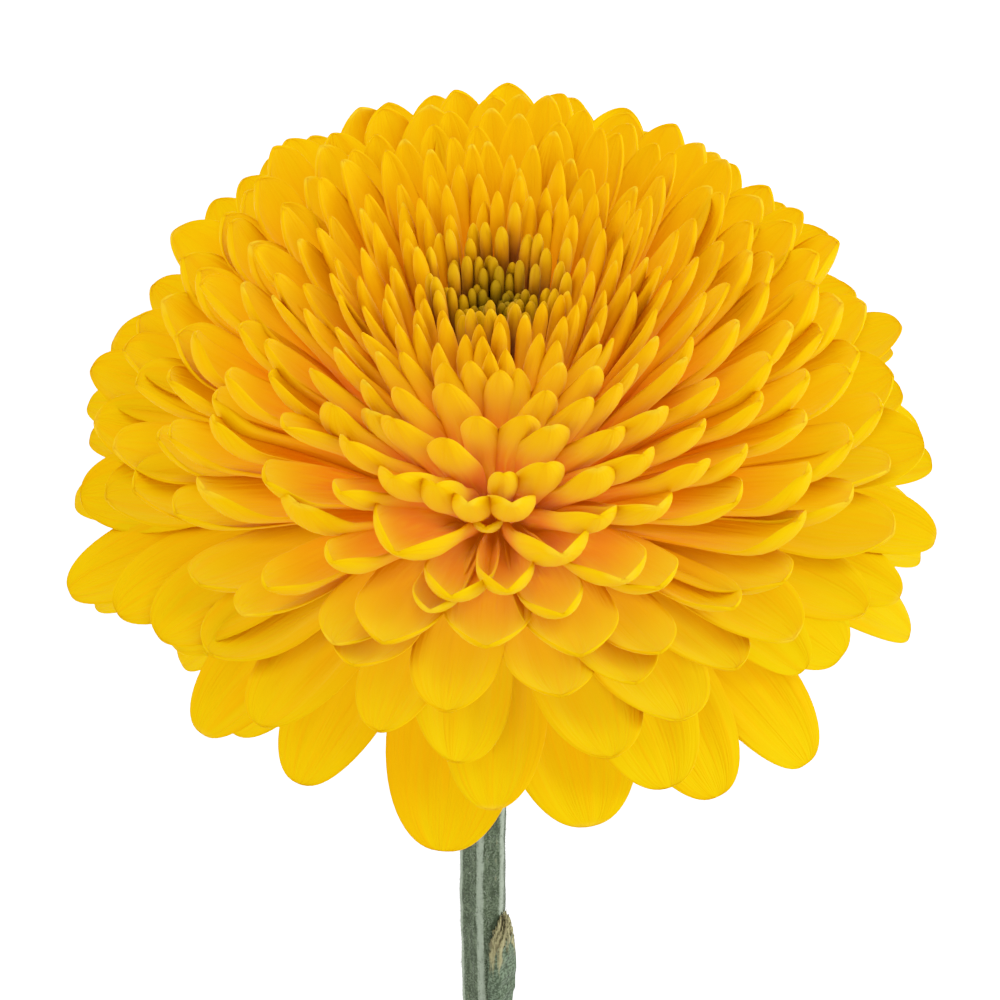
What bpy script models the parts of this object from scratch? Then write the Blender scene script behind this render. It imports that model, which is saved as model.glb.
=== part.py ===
"""Disbud chrysanthemum: one large yellow bloom on its cut stem, lying on a flat surface.

The flower is worked out in its own upright frame: the florets spread from a point on the
receptacle, +Z runs up the stem's axis to the middle of the bloom, and -Y is its front, the side
that faces up when it lies down. pose() then lays it on the surface z = 0: the bloom rests on a few
of its lowest petal tips and the stem on its cut end. Metres, +Z up.
"""
import math

import bmesh
import bpy
import numpy as np
from mathutils import Matrix, Vector

MM = 0.001

# Bloom: how the florets' tips lie, by elevation in degrees above the receptacle's plane
ELEVATION = np.array([-12.0, -4.0, 6.0, 16.0, 30.0, 45.0, 55.0, 65.0, 75.0, 83.0, 90.0])
BAND_COUNTS = np.array([18, 26, 34, 56, 68, 58, 60, 66, 52, 40])
REACH = np.array([54.5, 55.2, 54.8, 53.8, 52.5, 51.0, 48.0, 44.4, 41.6, 35.6, 30.2]) * MM
WIDTH = np.array([15.0, 14.2, 13.4, 12.0, 10.0, 7.8, 5.7, 3.5, 2.05, 1.45, 1.1]) * MM
CUP = np.array([24.0, 28.0, 34.0, 42.0, 54.0, 66.0, 74.0, 76.0, 90.0, 90.0, 90.0])
ARCH = np.array([44.0, 38.0, 32.0, 24.0, 14.0, 8.0, 6.0, 4.0, 2.0, 0.0, 0.0])
HOOK = np.array([-6.0, 0.0, 12.0, 30.0, 46.0, 46.0, 26.0, 14.0, 6.0, 0.0, 0.0])
HOOK_START = np.array([0.68, 0.68, 0.72, 0.76, 0.79, 0.81, 0.82, 0.82, 0.90, 0.90, 0.90])
BOWL = 0.05
LOPSIDED = 0.035
TUCKED = 0.88
TUCKED_BELOW = 6.0
HEART_UNEVEN = 0.045
HOOK_POWER = 1.4
ARCH_POWER = 1.2
GOLDEN_ANGLE = math.radians(137.50776)
SPACING = 0.95
SPREAD_ROUNDS = 8
SPREAD_STEP = 0.35
SEED = 7

# Florets that show singly: bearing from the front and elevation in degrees, reach and width in
# millimetres, half the angle that the floret's trough wraps, and its tip's inward hook in degrees
FRONT_WHORL = (
    (-19, 45, 51.5, 6.5, 95, 40), (-11.5, 45, 50.5, 5, 105, 40), (-5.5, 43, 51, 4.6, 110, 30),
    (3.5, 43, 51, 5.6, 95, 30), (10, 48, 50, 6, 85, 40), (-5.5, 55, 48.5, 4.7, 76, 24),
    (5.3, 55, 48.5, 5.4, 76, 24), (13, 58.5, 47.5, 4.8, 74, 20), (22.5, 56, 48, 5.8, 76, 24),
    (-25, 52.5, 49, 6.5, 78, 30), (-14.5, 59.5, 47.5, 5.8, 72, 20), (-27, 57, 48, 5, 76, 20),
    (1.5, 47, 50, 3.6, 105, 30), (-3, 39, 44, 3.5, 90, 10), (-10, 28.5, 52, 6, 80, 20),
    (1, 62.5, 46.5, 4, 76, 14), (20, 62.5, 46.5, 4, 76, 14), (-9, 64, 46, 3.6, 76, 14),
    (25.5, 50.5, 49.5, 6.4, 78, 34), (29, 46, 51, 7, 80, 40), (-31, 47.5, 50.5, 6.8, 80, 40),
)
FRONT_CUPS = (
    (-15.5, 35.5, 52.5, 10.5, 90, 22), (-6.8, 31, 53, 8.2, 84, 26), (2, 32, 53, 6.8, 94, 22),
    (10, 36, 52.5, 8.6, 96, 26), (9.5, 28.5, 53.5, 7.8, 80, 28), (19, 31.5, 53.5, 10, 74, 28),
    (17, 40, 52, 7, 80, 36), (28, 39, 52, 8, 74, 36), (-28, 41, 52, 6, 88, 34),
    (-25, 32.5, 53.5, 6.5, 88, 36), (-34, 26, 54, 7, 80, 36),
)
FRONT_ROWS = (
    (-15.5, 24, 54, 11, 60, 22), (-2, 25, 54, 10.5, 62, 22), (11.5, 23, 54, 12, 58, 20),
    (-20, 20, 54, 10, 45, 20), (-23, 22, 53.5, 9, 50, 20), (22, 21, 54, 9, 45, 25),
    (19, 18, 54.5, 10, 40, 15), (-6, 16, 54.5, 11, 35, 5), (8, 18, 54.5, 11, 40, 20),
    (-15, 12, 55, 10, 35, 5), (-37, 21, 54, 8.5, 45, 20), (34, 23, 54, 8, 60, 25),
)
SKIRT = (
    (-7, -8, 55, 17, 25, 0), (0, 1, 55, 13, 30, 0), (11.5, -3, 55.5, 17, 25, 0),
    (22, 1, 55.5, 15, 28, -5), (29.5, -5, 55, 14.5, 25, 0), (43, -7, 56, 14, 25, 0),
    (-26, -0.5, 55, 13, 28, 0), (-31, 7, 55, 12, 30, 0), (-41.5, -1, 54.5, 13, 28, 0),
    (-50, 10, 54.5, 14, 35, 0), (-68, 3, 57, 14, 35, 0), (-57, 8.5, 55.5, 13, 35, 0),
    (74, 7, 57, 13, 35, 0), (62, 7, 56, 12, 35, 0), (55, 10, 55, 13, 35, 5),
    (42, 15, 55, 12, 45, 10),
)
RESTING = (
    (-157, -10, 57, 14, 24, 0), (157, -10, 57, 14, 24, 0), (-171, -10, 57, 13, 26, 0),
    (171, -10, 57, 13, 26, 0),
)

# Receptacle, the dome that every floret grows from
DOME_RADIUS = 10.5 * MM
DOME_HEIGHT = 3.5 * MM
DOME_SINK = 1.0 * MM

# Faceted florets
LOWEST_BELOW = -2.5
OUTER_BELOW = 8.0
ALL_KEPT_BELOW = 26.0
LOWEST_STATIONS = (0.10, 0.45, 0.74, 0.90)
OUTER_STATIONS = (0.42, 0.74, 0.90)
INNER_STATIONS = (0.50, 0.80)
STATION_SHARES = (0.10, 0.42, 0.50, 0.74, 0.80, 0.90, 1.0)
STATION_WIDTHS = (0.26, 0.46, 0.56, 0.92, 0.92, 0.80, 0.36)
WIDEST_CUP = math.radians(115.0)
BLADE_THICKNESS = 0.7 * MM
KEPT_OF_FIVE = 3
HEART_KEPT_OF_THREE = 2
FINGER_FROM = 61.0
FINGER_START = 0.54
HEART_START = 0.50
FINGER_SHOULDER = 0.93
HEART_FROM = 76.0
HEART_CLEARANCE = 3.0
HEART_ROOTS = 0.5
RAY_ROOTS = 6.4 * MM

# Cores of the two nodes of florets
CORE_SHARE = 0.62
CORE_CRATER = (8.0 * MM, 20.0 * MM)
CORE_ELEVATIONS = (66.0, 52.0, 38.0, 24.0, 12.0, 3.0)
CORE_SEAT = 12.5 * MM
CORE_BOTTOM = -1.2 * MM
CORE_SEGMENTS = 24
PLUG_BOTTOM_RADIUS = 3.0 * MM
PLUG_TOP_RADIUS = 6.6 * MM
PLUG_TOP = 21.0 * MM
PLUG_SEGMENTS = 16
WELL_MOUTH_HEIGHT = 20.0 * MM
WELL_FLARE = 4.0 * MM
WELL_OVERRUN = 5.0 * MM
GAP = 0.3 * MM

# Involucre: the green cup of bracts under the bloom
CUP_RADIUS = 11.0 * MM
CUP_DEPTH = 13.0 * MM
CUP_RINGS = (0.0, 0.25, 0.5, 0.75, 0.9)
CUP_SEGMENTS = 26
BRACTS_A_ROW = 11
BRACT_ROWS = ((-9.4, 50.0, 8.0), (-6.6, 66.0, 10.0), (-4.4, 80.0, 12.0))
BRACT_WIDTH = 4.6 * MM
BRACT_THICKNESS = 0.8 * MM
BRACT_SECTIONS = ((0.0, 0.55), (0.62, 1.0))
BRACT_FOLD = 0.14
BRACT_TIP = 0.12
BRACT_ROOT_DEPTH = 1.0 * MM
BRACT_ROW_TURN = 0.17

# Stem
STEM_DIAMETER = 6.24 * MM
STEM_TOP = CORE_BOTTOM - CUP_DEPTH - 2.0 * GAP
STEM_STATIONS = 15
STEM_RIBS = 6
RIB_HEIGHT = 0.16 * MM
RIB_TURN = math.radians(23.0)
STEM_BOW = 2.0 * MM
NODE_SWELLING = 1.03
SWELL_ABOVE = 6.0 * MM
SWELL_UNDER = 4.0 * MM
SCAR_BELOW = 92.5 * MM
SCAR_BEARING = math.radians(-38.0)
SCAR_LENGTH = 22.0 * MM
SCAR_DEPTH = 0.57
SCAR_WIDTH = 0.8

# Lying pose
LEAN = math.radians(20.0)
BLOOM_HEIGHT = 50.0 * MM
REST_SINK = 0.5 * MM
LIFT_LIMIT = 60.0


def new_collection(name):
    """Return a new collection linked to the scene."""
    collection = bpy.data.collections.new(name)
    bpy.context.scene.collection.children.link(collection)
    return collection


def material(name, colour, roughness):
    """Return a Principled material of one colour."""
    made = bpy.data.materials.new(name)
    made.use_nodes = True
    shader = made.node_tree.nodes["Principled BSDF"]
    shader.inputs["Base Color"].default_value = (*colour, 1.0)
    shader.inputs["Roughness"].default_value = roughness
    shader.inputs["Metallic"].default_value = 0.0
    return made


def mesh_object(name, points, faces, collection):
    """Return a new object from points and faces, linked to a collection."""
    mesh = bpy.data.meshes.new(name)
    mesh.from_pydata([tuple(point) for point in points], [], faces)
    made = bpy.data.objects.new(name, mesh)
    collection.objects.link(made)
    return made


def direction(azimuth, elevation):
    """Return unit vectors from azimuths and elevations in radians."""
    level = np.cos(elevation)
    parts = np.broadcast_arrays(level * np.cos(azimuth), level * np.sin(azimuth), np.sin(elevation))
    return np.stack(parts, -1)


def spread(unit, free, wanted):
    """Push florets apart until each has about its wanted angular spacing; fixed ones stay."""
    itself = np.eye(len(unit)) * 9.0
    for _ in range(SPREAD_ROUNDS):
        offset = unit[:, None] - unit[None]
        distance = np.linalg.norm(offset, axis=-1) + itself
        mean = 0.5 * (wanted[:, None] + wanted[None])
        push = np.clip(mean - distance, 0.0, None) / distance * SPREAD_STEP
        unit = np.where(free[:, None], unit + (offset * push[..., None]).sum(1), unit)
        unit /= np.linalg.norm(unit, axis=1)[:, None]
    return unit


def height_share(elevation, azimuth):
    """Height above the bloom's centre, lying down, of a tip at unit reach."""
    upward = -np.sin(azimuth)
    return np.sin(elevation) * math.sin(LEAN) + np.cos(elevation) * math.cos(LEAN) * upward


def lift_off_surface(elevation, azimuth):
    """Raise the florets on the underside so that their tips end at the surface and not below it."""
    across = math.cos(LEAN) * -np.sin(azimuth)
    swing = np.hypot(math.sin(LEAN), across)
    drop = np.clip((BLOOM_HEIGHT + REST_SINK) / REACH.max() / swing, 0.0, 1.0)
    lowest = np.degrees(-np.arcsin(drop) - np.arctan2(across, math.sin(LEAN)))
    lowest = np.where((drop < 1.0) & (across < 0.0), np.maximum(lowest, ELEVATION[0]), ELEVATION[0])
    squeeze = (LIFT_LIMIT - lowest) / (LIFT_LIMIT - ELEVATION[0])
    return np.where(elevation < LIFT_LIMIT, LIFT_LIMIT - (LIFT_LIMIT - elevation) * squeeze, elevation)


def arrange():
    """Return the florets as arrays: a golden-angle spiral with the front florets set by hand."""
    draw = np.random.default_rng(SEED)
    steps = np.concatenate([[0], np.cumsum(BAND_COUNTS)])
    total = int(steps[-1])
    number = np.arange(total) + 0.5
    nominal = np.interp(number, steps, ELEVATION)

    def jitter(deviation):
        return draw.normal(0.0, deviation, total).clip(-2.0 * deviation, 2.0 * deviation)

    fade = np.interp(nominal, [60.0, 80.0], [1.0, 0.4])
    unit = direction(number * GOLDEN_ANGLE + np.radians(jitter(2.0)) * fade,
                     np.radians(nominal + jitter(2.0) * fade))
    chosen = np.array(FRONT_WHORL + FRONT_CUPS + FRONT_ROWS + SKIRT + RESTING)
    targets = direction(np.radians(chosen[:, 0] - 90.0), np.radians(chosen[:, 1]))
    owner = np.full(total, -1)
    for index, target in enumerate(targets):
        nearest = np.where(owner < 0, unit @ target, -2.0).argmax()
        owner[nearest] = index
        unit[nearest] = target
    by_hand = owner >= 0
    room = np.diff(np.sin(np.radians(ELEVATION))) * 2.0 * math.pi / BAND_COUNTS
    middle = 0.5 * (ELEVATION[1:] + ELEVATION[:-1])
    unit = spread(unit, ~by_hand, SPACING * np.sqrt(np.interp(nominal, middle, room)))

    azimuth = np.arctan2(unit[:, 1], unit[:, 0])
    elevation = lift_off_surface(np.degrees(np.arcsin(unit[:, 2])), azimuth)
    near_heart = elevation > HEART_FROM
    elevation = np.where(near_heart, np.maximum(elevation, HEART_FROM + HEART_CLEARANCE),
                         np.minimum(elevation, HEART_FROM - HEART_CLEARANCE))
    reach = np.interp(elevation, ELEVATION, REACH) * (1.0 + jitter(0.018) * fade)
    reach = reach * (1.0 - LOPSIDED * np.clip(-np.cos(azimuth), 0.0, 1.0))
    low = (elevation < TUCKED_BELOW) & (np.sin(azimuth) < -0.35)
    reach = np.where(low, TUCKED, 1.0) * reach
    uneven = HEART_UNEVEN * np.interp(elevation, [70.0, 80.0], [0.0, 1.0])
    florets = {
        "reach": reach * (1.0 + uneven * np.sin(number * number)),
        "width": np.interp(elevation, ELEVATION, WIDTH) * (1.0 + jitter(0.08)),
        "cup": np.interp(elevation, ELEVATION, CUP) * (1.0 + jitter(0.10)),
        "hook": np.interp(elevation, ELEVATION, HOOK) * (1.0 + jitter(0.3)),
        "arch": np.radians(np.interp(elevation, ELEVATION, ARCH) + jitter(4.0) * fade),
    }
    for column, key, unit_size in ((2, "reach", MM), (3, "width", MM), (4, "cup", 1.0), (5, "hook", 1.0)):
        florets[key] = np.where(by_hand, chosen[owner, column] * unit_size, florets[key])
    bowl = BOWL * np.clip(florets["cup"] / 16.0 - 5.125, 0.0, 1.0)
    florets["hook_start"] = np.interp(elevation, ELEVATION, HOOK_START) - bowl
    calm = np.where(by_hand, 0.4, 1.0) * fade
    florets["twist"] = np.radians(jitter(9.0)) * calm
    florets["sway"] = jitter(0.9 * MM) * calm
    florets["cup"] = np.radians(florets["cup"])
    florets["hook"] = np.radians(florets["hook"])
    florets["by_hand"] = by_hand
    florets["number"] = np.arange(total)
    florets["azimuth"] = azimuth
    florets["elevation"] = elevation
    share = height_share(np.radians(elevation), azimuth)
    longest = np.where(share < 0.0, (BLOOM_HEIGHT + REST_SINK) / np.maximum(-share, 0.01), 1.0)
    florets["reach"] = np.minimum(florets["reach"], longest)
    rank = np.empty(total)
    rank[np.argsort(elevation, kind="stable")] = number / total
    florets["rank"] = rank
    return florets


def midribs(florets, along):
    """Return each midrib's points with its sideways and inward directions, at shares of its length."""
    def column(values):
        return values[:, None]

    along = np.broadcast_to(along, (len(florets["rank"]), len(along)))
    root_out = DOME_RADIUS * np.sqrt(1.0 - florets["rank"])
    in_heart = florets["elevation"] > HEART_FROM
    root_out = np.where(in_heart, HEART_ROOTS * root_out, np.maximum(root_out, RAY_ROOTS))
    root_up = DOME_HEIGHT * florets["rank"] - DOME_SINK
    elevation = np.radians(florets["elevation"])
    tip_out = florets["reach"] * np.cos(elevation)
    tip_up = florets["reach"] * np.sin(elevation)
    start = column(florets["hook_start"])
    hooked = np.clip((along - start) / (1.0 - start), 0.0, 1.0) ** HOOK_POWER
    turn = column(florets["hook"]) * hooked - column(florets["arch"]) * along ** ARCH_POWER
    step = np.diff(along, axis=1)
    middle = 0.5 * (turn[:, 1:] + turn[:, :-1])
    start = np.zeros((len(step), 1))
    out = np.concatenate([start, np.cumsum(np.cos(middle) * step, 1)], 1)
    up = np.concatenate([start, np.cumsum(np.sin(middle) * step, 1)], 1)
    bare = np.arctan2(up[:, -1], out[:, -1])
    wanted = np.arctan2(tip_up - root_up, tip_out - root_out)
    scale = column(np.hypot(tip_up - root_up, tip_out - root_out) / np.hypot(up[:, -1], out[:, -1]))
    tilt = column(wanted - bare)
    distance = column(root_out) + scale * (out * np.cos(tilt) - up * np.sin(tilt))
    height = column(root_up) + scale * (out * np.sin(tilt) + up * np.cos(tilt))
    slope = (turn + tilt)[..., None]
    outward = direction(florets["azimuth"], 0.0)[:, None, :]
    sideways = direction(florets["azimuth"] + math.pi / 2.0, 0.0)[:, None, :]
    axis = np.array([0.0, 0.0, 1.0])
    inward = np.cos(slope) * axis - np.sin(slope) * outward
    lateral = np.broadcast_to(sideways, inward.shape)
    roll = (column(florets["twist"]) * along)[..., None]
    lateral, inward = (lateral * np.cos(roll) + inward * np.sin(roll),
                       inward * np.cos(roll) - lateral * np.sin(roll))
    centre = distance[..., None] * outward + height[..., None] * axis
    centre = centre + sideways * (column(florets["sway"]) * along ** 2)[..., None]
    return centre, lateral, inward


def chosen_florets(florets, mask):
    """Return the florets that a mask picks."""
    return {key: values[mask] for key, values in florets.items()}


LOFT_SIDE = ((0, 1, 5, 4), (1, 2, 6, 5), (2, 3, 7, 6), (3, 0, 4, 7))
TIP_SIDE = ((0, 1, 4), (1, 5, 4), (1, 2, 5), (2, 3, 5), (3, 4, 5), (3, 0, 4))


def blade_faces(stations):
    """Faces of a blade: four-cornered sections lofted from root to a blunt edge at the tip."""
    faces = [(3, 2, 1, 0)]
    for station in range(stations - 1):
        faces += [tuple(4 * station + corner for corner in side) for side in LOFT_SIDE]
    last = 4 * (stations - 1)
    return faces + [tuple(last + corner for corner in side) for side in TIP_SIDE]


def add_blades(florets, shares, collection):
    """Add ray florets as thin troughs: edge, underside, edge and hollow side at each station."""
    shares = shares + (1.0,)
    fine = np.linspace(0.0, 1.0, 51)
    spots = [int(round(share * 50)) for share in shares]
    centre, lateral, inward = (values[:, spots] for values in midribs(florets, fine))
    faces = blade_faces(len(shares) - 1)
    cup = np.minimum(florets["cup"], WIDEST_CUP)
    for index, width in enumerate(florets["width"]):
        points = []
        for station, share in enumerate(shares):
            half = 0.5 * width * np.interp(share, STATION_SHARES, STATION_WIDTHS)
            radius = half / math.sin(min(cup[index], math.pi / 2.0))
            side = lateral[index, station] * radius * math.sin(cup[index])
            rise = inward[index, station] * radius * (1.0 - math.cos(cup[index]))
            wall = inward[index, station] * BLADE_THICKNESS * 0.5
            middle = centre[index, station]
            if share < 1.0:
                points += [middle - side + rise, middle - wall, middle + side + rise, middle + wall]
            else:
                points += [middle - side, middle + side]
        mesh_object("blade", points, faces, collection)


def add_fingers(florets, start, collection):
    """Add the young florets as three-sided rods with a shoulder and a pointed end."""
    along = np.linspace(0.0, 1.0, 101)
    centre, lateral, inward = midribs(florets, along)
    faces = [(2, 1, 0), (0, 1, 4, 3), (1, 2, 5, 4), (2, 0, 3, 5), (3, 4, 6), (4, 5, 6), (5, 3, 6)]
    for index, width in enumerate(florets["width"]):
        points = []
        for share, fill in ((start, 0.9), (FINGER_SHOULDER, 1.0)):
            spot = int(round(share * 100))
            for corner in range(3):
                angle = math.radians(-90.0 + 120.0 * corner)
                swing = lateral[index, spot] * math.cos(angle) + inward[index, spot] * math.sin(angle)
                points.append(centre[index, spot] + swing * 0.5 * width * fill)
        points.append(centre[index, 100])
        mesh_object("finger", points, faces, collection)


def turned(name, profile, segments, collection):
    """Return a closed turned body from a profile of (radius, height) on its axis, top to bottom."""
    mesh = bpy.data.meshes.new(name)
    points = [(radius, 0.0, height) for radius, height in profile]
    mesh.from_pydata(points, [(i, i + 1) for i in range(len(points) - 1)], [])
    made = bpy.data.objects.new(name, mesh)
    collection.objects.link(made)
    screw = made.modifiers.new("turn", "SCREW")
    screw.steps = segments
    screw.render_steps = segments
    screw.use_merge_vertices = True
    screw.merge_threshold = 0.00001
    screw.use_smooth_shade = False
    return made


def settle(made):
    """Apply an object's modifiers to its mesh."""
    graph = bpy.context.evaluated_depsgraph_get()
    mesh = bpy.data.meshes.new_from_object(made.evaluated_get(graph))
    made.modifiers.clear()
    made.data = mesh


def fuse(base, repeats):
    """Join a collection of repeats to what they grow from, in one body, and remove the repeats."""
    joined = base.modifiers.new("fuse", "BOOLEAN")
    joined.operation = "UNION"
    joined.operand_type = "COLLECTION"
    joined.collection = repeats
    joined.solver = "MANIFOLD"
    settle(base)
    for leftover in list(repeats.objects):
        bpy.data.objects.remove(leftover)
    bpy.data.collections.remove(repeats)


def cut(base, cutter):
    """Take a cutter's shape out of a body and keep the cutter as a hidden guide."""
    taken = base.modifiers.new("cut", "BOOLEAN")
    taken.operation = "DIFFERENCE"
    taken.object = cutter
    cutter.hide_render = True
    cutter.display_type = "WIRE"
    settle(base)


def pose():
    """Return the turn and shift from the flower's upright frame to lying on the surface."""
    lay = Matrix.Rotation(math.pi, 4, "Z") @ Matrix.Rotation(-(math.pi / 2.0 - LEAN), 4, "X")
    return Matrix.Translation((0.0, 0.0, BLOOM_HEIGHT)) @ lay


def lay_down(made):
    """Lay a body down and shave what is below the surface, which leaves its resting flats."""
    body = bmesh.new()
    body.from_mesh(made.data)
    bmesh.ops.transform(body, matrix=pose(), verts=body.verts)
    geometry = body.verts[:] + body.edges[:] + body.faces[:]
    sliced = bmesh.ops.bisect_plane(body, geom=geometry, dist=1e-7, plane_co=(0.0, 0.0, 0.0),
                                    plane_no=(0.0, 0.0, -1.0), clear_outer=True)
    rim = [item for item in sliced["geom_cut"] if isinstance(item, bmesh.types.BMEdge)]
    if rim:
        bmesh.ops.edgenet_fill(body, edges=rim)
    bmesh.ops.recalc_face_normals(body, faces=body.faces[:])
    body.to_mesh(made.data)
    body.free()


def core_profile():
    """Profile of the ray florets' core: a share of the florets' reach, over the receptacle."""
    points = [CORE_CRATER]
    for elevation in CORE_ELEVATIONS:
        reach = CORE_SHARE * float(np.interp(elevation, ELEVATION, REACH))
        angle = math.radians(elevation)
        points.append((reach * math.cos(angle), reach * math.sin(angle)))
    top = points[0][1]
    return [(0.0, top)] + points + [(CORE_SEAT, CORE_BOTTOM), (0.0, CORE_BOTTOM)]


def ray_florets(florets, model, cutters):
    """The yellow florets, fused to a core with a well for the heart."""
    core = turned("ray_florets", core_profile(), CORE_SEGMENTS, model)
    settle(core)
    mouth = PLUG_TOP + WELL_MOUTH_HEIGHT
    below = CORE_BOTTOM - WELL_OVERRUN
    well_profile = [(0.0, mouth), (PLUG_TOP_RADIUS + WELL_FLARE, mouth),
                    (PLUG_TOP_RADIUS + GAP, PLUG_TOP), (PLUG_BOTTOM_RADIUS + GAP, CORE_BOTTOM),
                    (PLUG_BOTTOM_RADIUS + GAP, below), (0.0, below)]
    well = turned("heart_well", well_profile, PLUG_SEGMENTS, cutters)
    cut(core, well)
    repeats = new_collection("ray_repeats")
    elevation = florets["elevation"]
    kept = florets["by_hand"] | (elevation < ALL_KEPT_BELOW) | (florets["number"] % 5 < KEPT_OF_FIVE)
    lowest = elevation < LOWEST_BELOW
    add_blades(chosen_florets(florets, lowest), LOWEST_STATIONS, repeats)
    outer = ~lowest & (elevation < OUTER_BELOW)
    add_blades(chosen_florets(florets, outer), OUTER_STATIONS, repeats)
    inner = kept & (elevation >= OUTER_BELOW) & (elevation < FINGER_FROM)
    add_blades(chosen_florets(florets, inner), INNER_STATIONS, repeats)
    fingers = kept & (elevation >= FINGER_FROM) & (elevation < HEART_FROM)
    add_fingers(chosen_florets(florets, fingers), FINGER_START, repeats)
    fuse(core, repeats)
    core.data.materials.append(material("petal_yellow", (0.92, 0.52, 0.01), 0.5))
    return core


def heart_florets(florets, model):
    """The young green florets in the middle, on a core of their own."""
    profile = [(0.0, PLUG_TOP), (PLUG_TOP_RADIUS, PLUG_TOP), (PLUG_BOTTOM_RADIUS, CORE_BOTTOM),
               (0.0, CORE_BOTTOM)]
    plug = turned("heart_florets", profile, PLUG_SEGMENTS, model)
    settle(plug)
    repeats = new_collection("heart_repeats")
    kept = florets["number"] % 3 < HEART_KEPT_OF_THREE
    add_fingers(chosen_florets(florets, kept & (florets["elevation"] > HEART_FROM)), HEART_START, repeats)
    fuse(plug, repeats)
    plug.data.materials.append(material("heart_green", (0.36, 0.34, 0.02), 0.55))
    return plug


def add_bracts(collection):
    """Add the involucre's overlapping bracts, row above row, pressed to the cup."""
    faces = blade_faces(2)
    for row, (height, lean_out, length) in enumerate(BRACT_ROWS):
        height = height * MM
        length = length * MM
        lean_out = math.radians(lean_out)
        for place in range(BRACTS_A_ROW):
            azimuth = 2.0 * math.pi * (place + 0.5 * (row % 2) + BRACT_ROW_TURN * row) / BRACTS_A_ROW
            out = Vector((math.cos(azimuth), math.sin(azimuth), 0.0))
            side = Vector((-math.sin(azimuth), math.cos(azimuth), 0.0))
            foot = out * (cup_radius(height) - BRACT_ROOT_DEPTH) + Vector((0.0, 0.0, height))
            heading = out * math.sin(lean_out) + Vector((0.0, 0.0, math.cos(lean_out)))
            face = side.cross(heading)
            points = []
            for share, fill in BRACT_SECTIONS:
                middle = foot + heading * length * share
                half = side * 0.5 * BRACT_WIDTH * fill
                fold = face * BRACT_FOLD * BRACT_WIDTH * fill
                wall = face * BRACT_THICKNESS
                points += [middle - half - fold, middle + 0.55 * wall, middle + half - fold,
                           middle - 0.55 * wall]
            end = foot + heading * length
            points += [end - side * BRACT_TIP * BRACT_WIDTH, end + side * BRACT_TIP * BRACT_WIDTH]
            mesh_object("bract", points, faces, collection)


def cup_radius(height):
    """Radius of the involucre's cup at a height below the bloom."""
    share = min(max((height + CUP_DEPTH) / CUP_DEPTH, 0.0), 1.0)
    return 0.5 * STEM_DIAMETER + (CUP_RADIUS - 0.5 * STEM_DIAMETER) * math.sin(share * math.pi / 2.0)


def involucre(model):
    """The receptacle's green cup with its bracts."""
    top = CORE_BOTTOM - GAP
    heights = [top - CUP_DEPTH * share for share in CUP_RINGS]
    profile = [(0.0, top)] + [(cup_radius(height), height) for height in heights]
    profile += [(0.5 * STEM_DIAMETER, top - CUP_DEPTH), (0.0, top - CUP_DEPTH)]
    cup = turned("involucre", profile, CUP_SEGMENTS, model)
    settle(cup)
    repeats = new_collection("bract_repeats")
    add_bracts(repeats)
    fuse(cup, repeats)
    cup.data.materials.append(material("bract_green", (0.16, 0.22, 0.06), 0.7))
    return cup


def stem_length():
    """Length from the bloom's centre to the cut end, so that the end touches the surface."""
    radius = 0.5 * STEM_DIAMETER * NODE_SWELLING
    return (BLOOM_HEIGHT + REST_SINK - radius * math.cos(LEAN)) / math.sin(LEAN)


def stem_path(height):
    """Point on the stem's slightly bowed axis at a height below the bloom's centre."""
    share = (STEM_TOP - height) / (STEM_TOP + stem_length())
    return (-STEM_BOW * math.sin(share * math.pi), 0.0, height)


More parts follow.
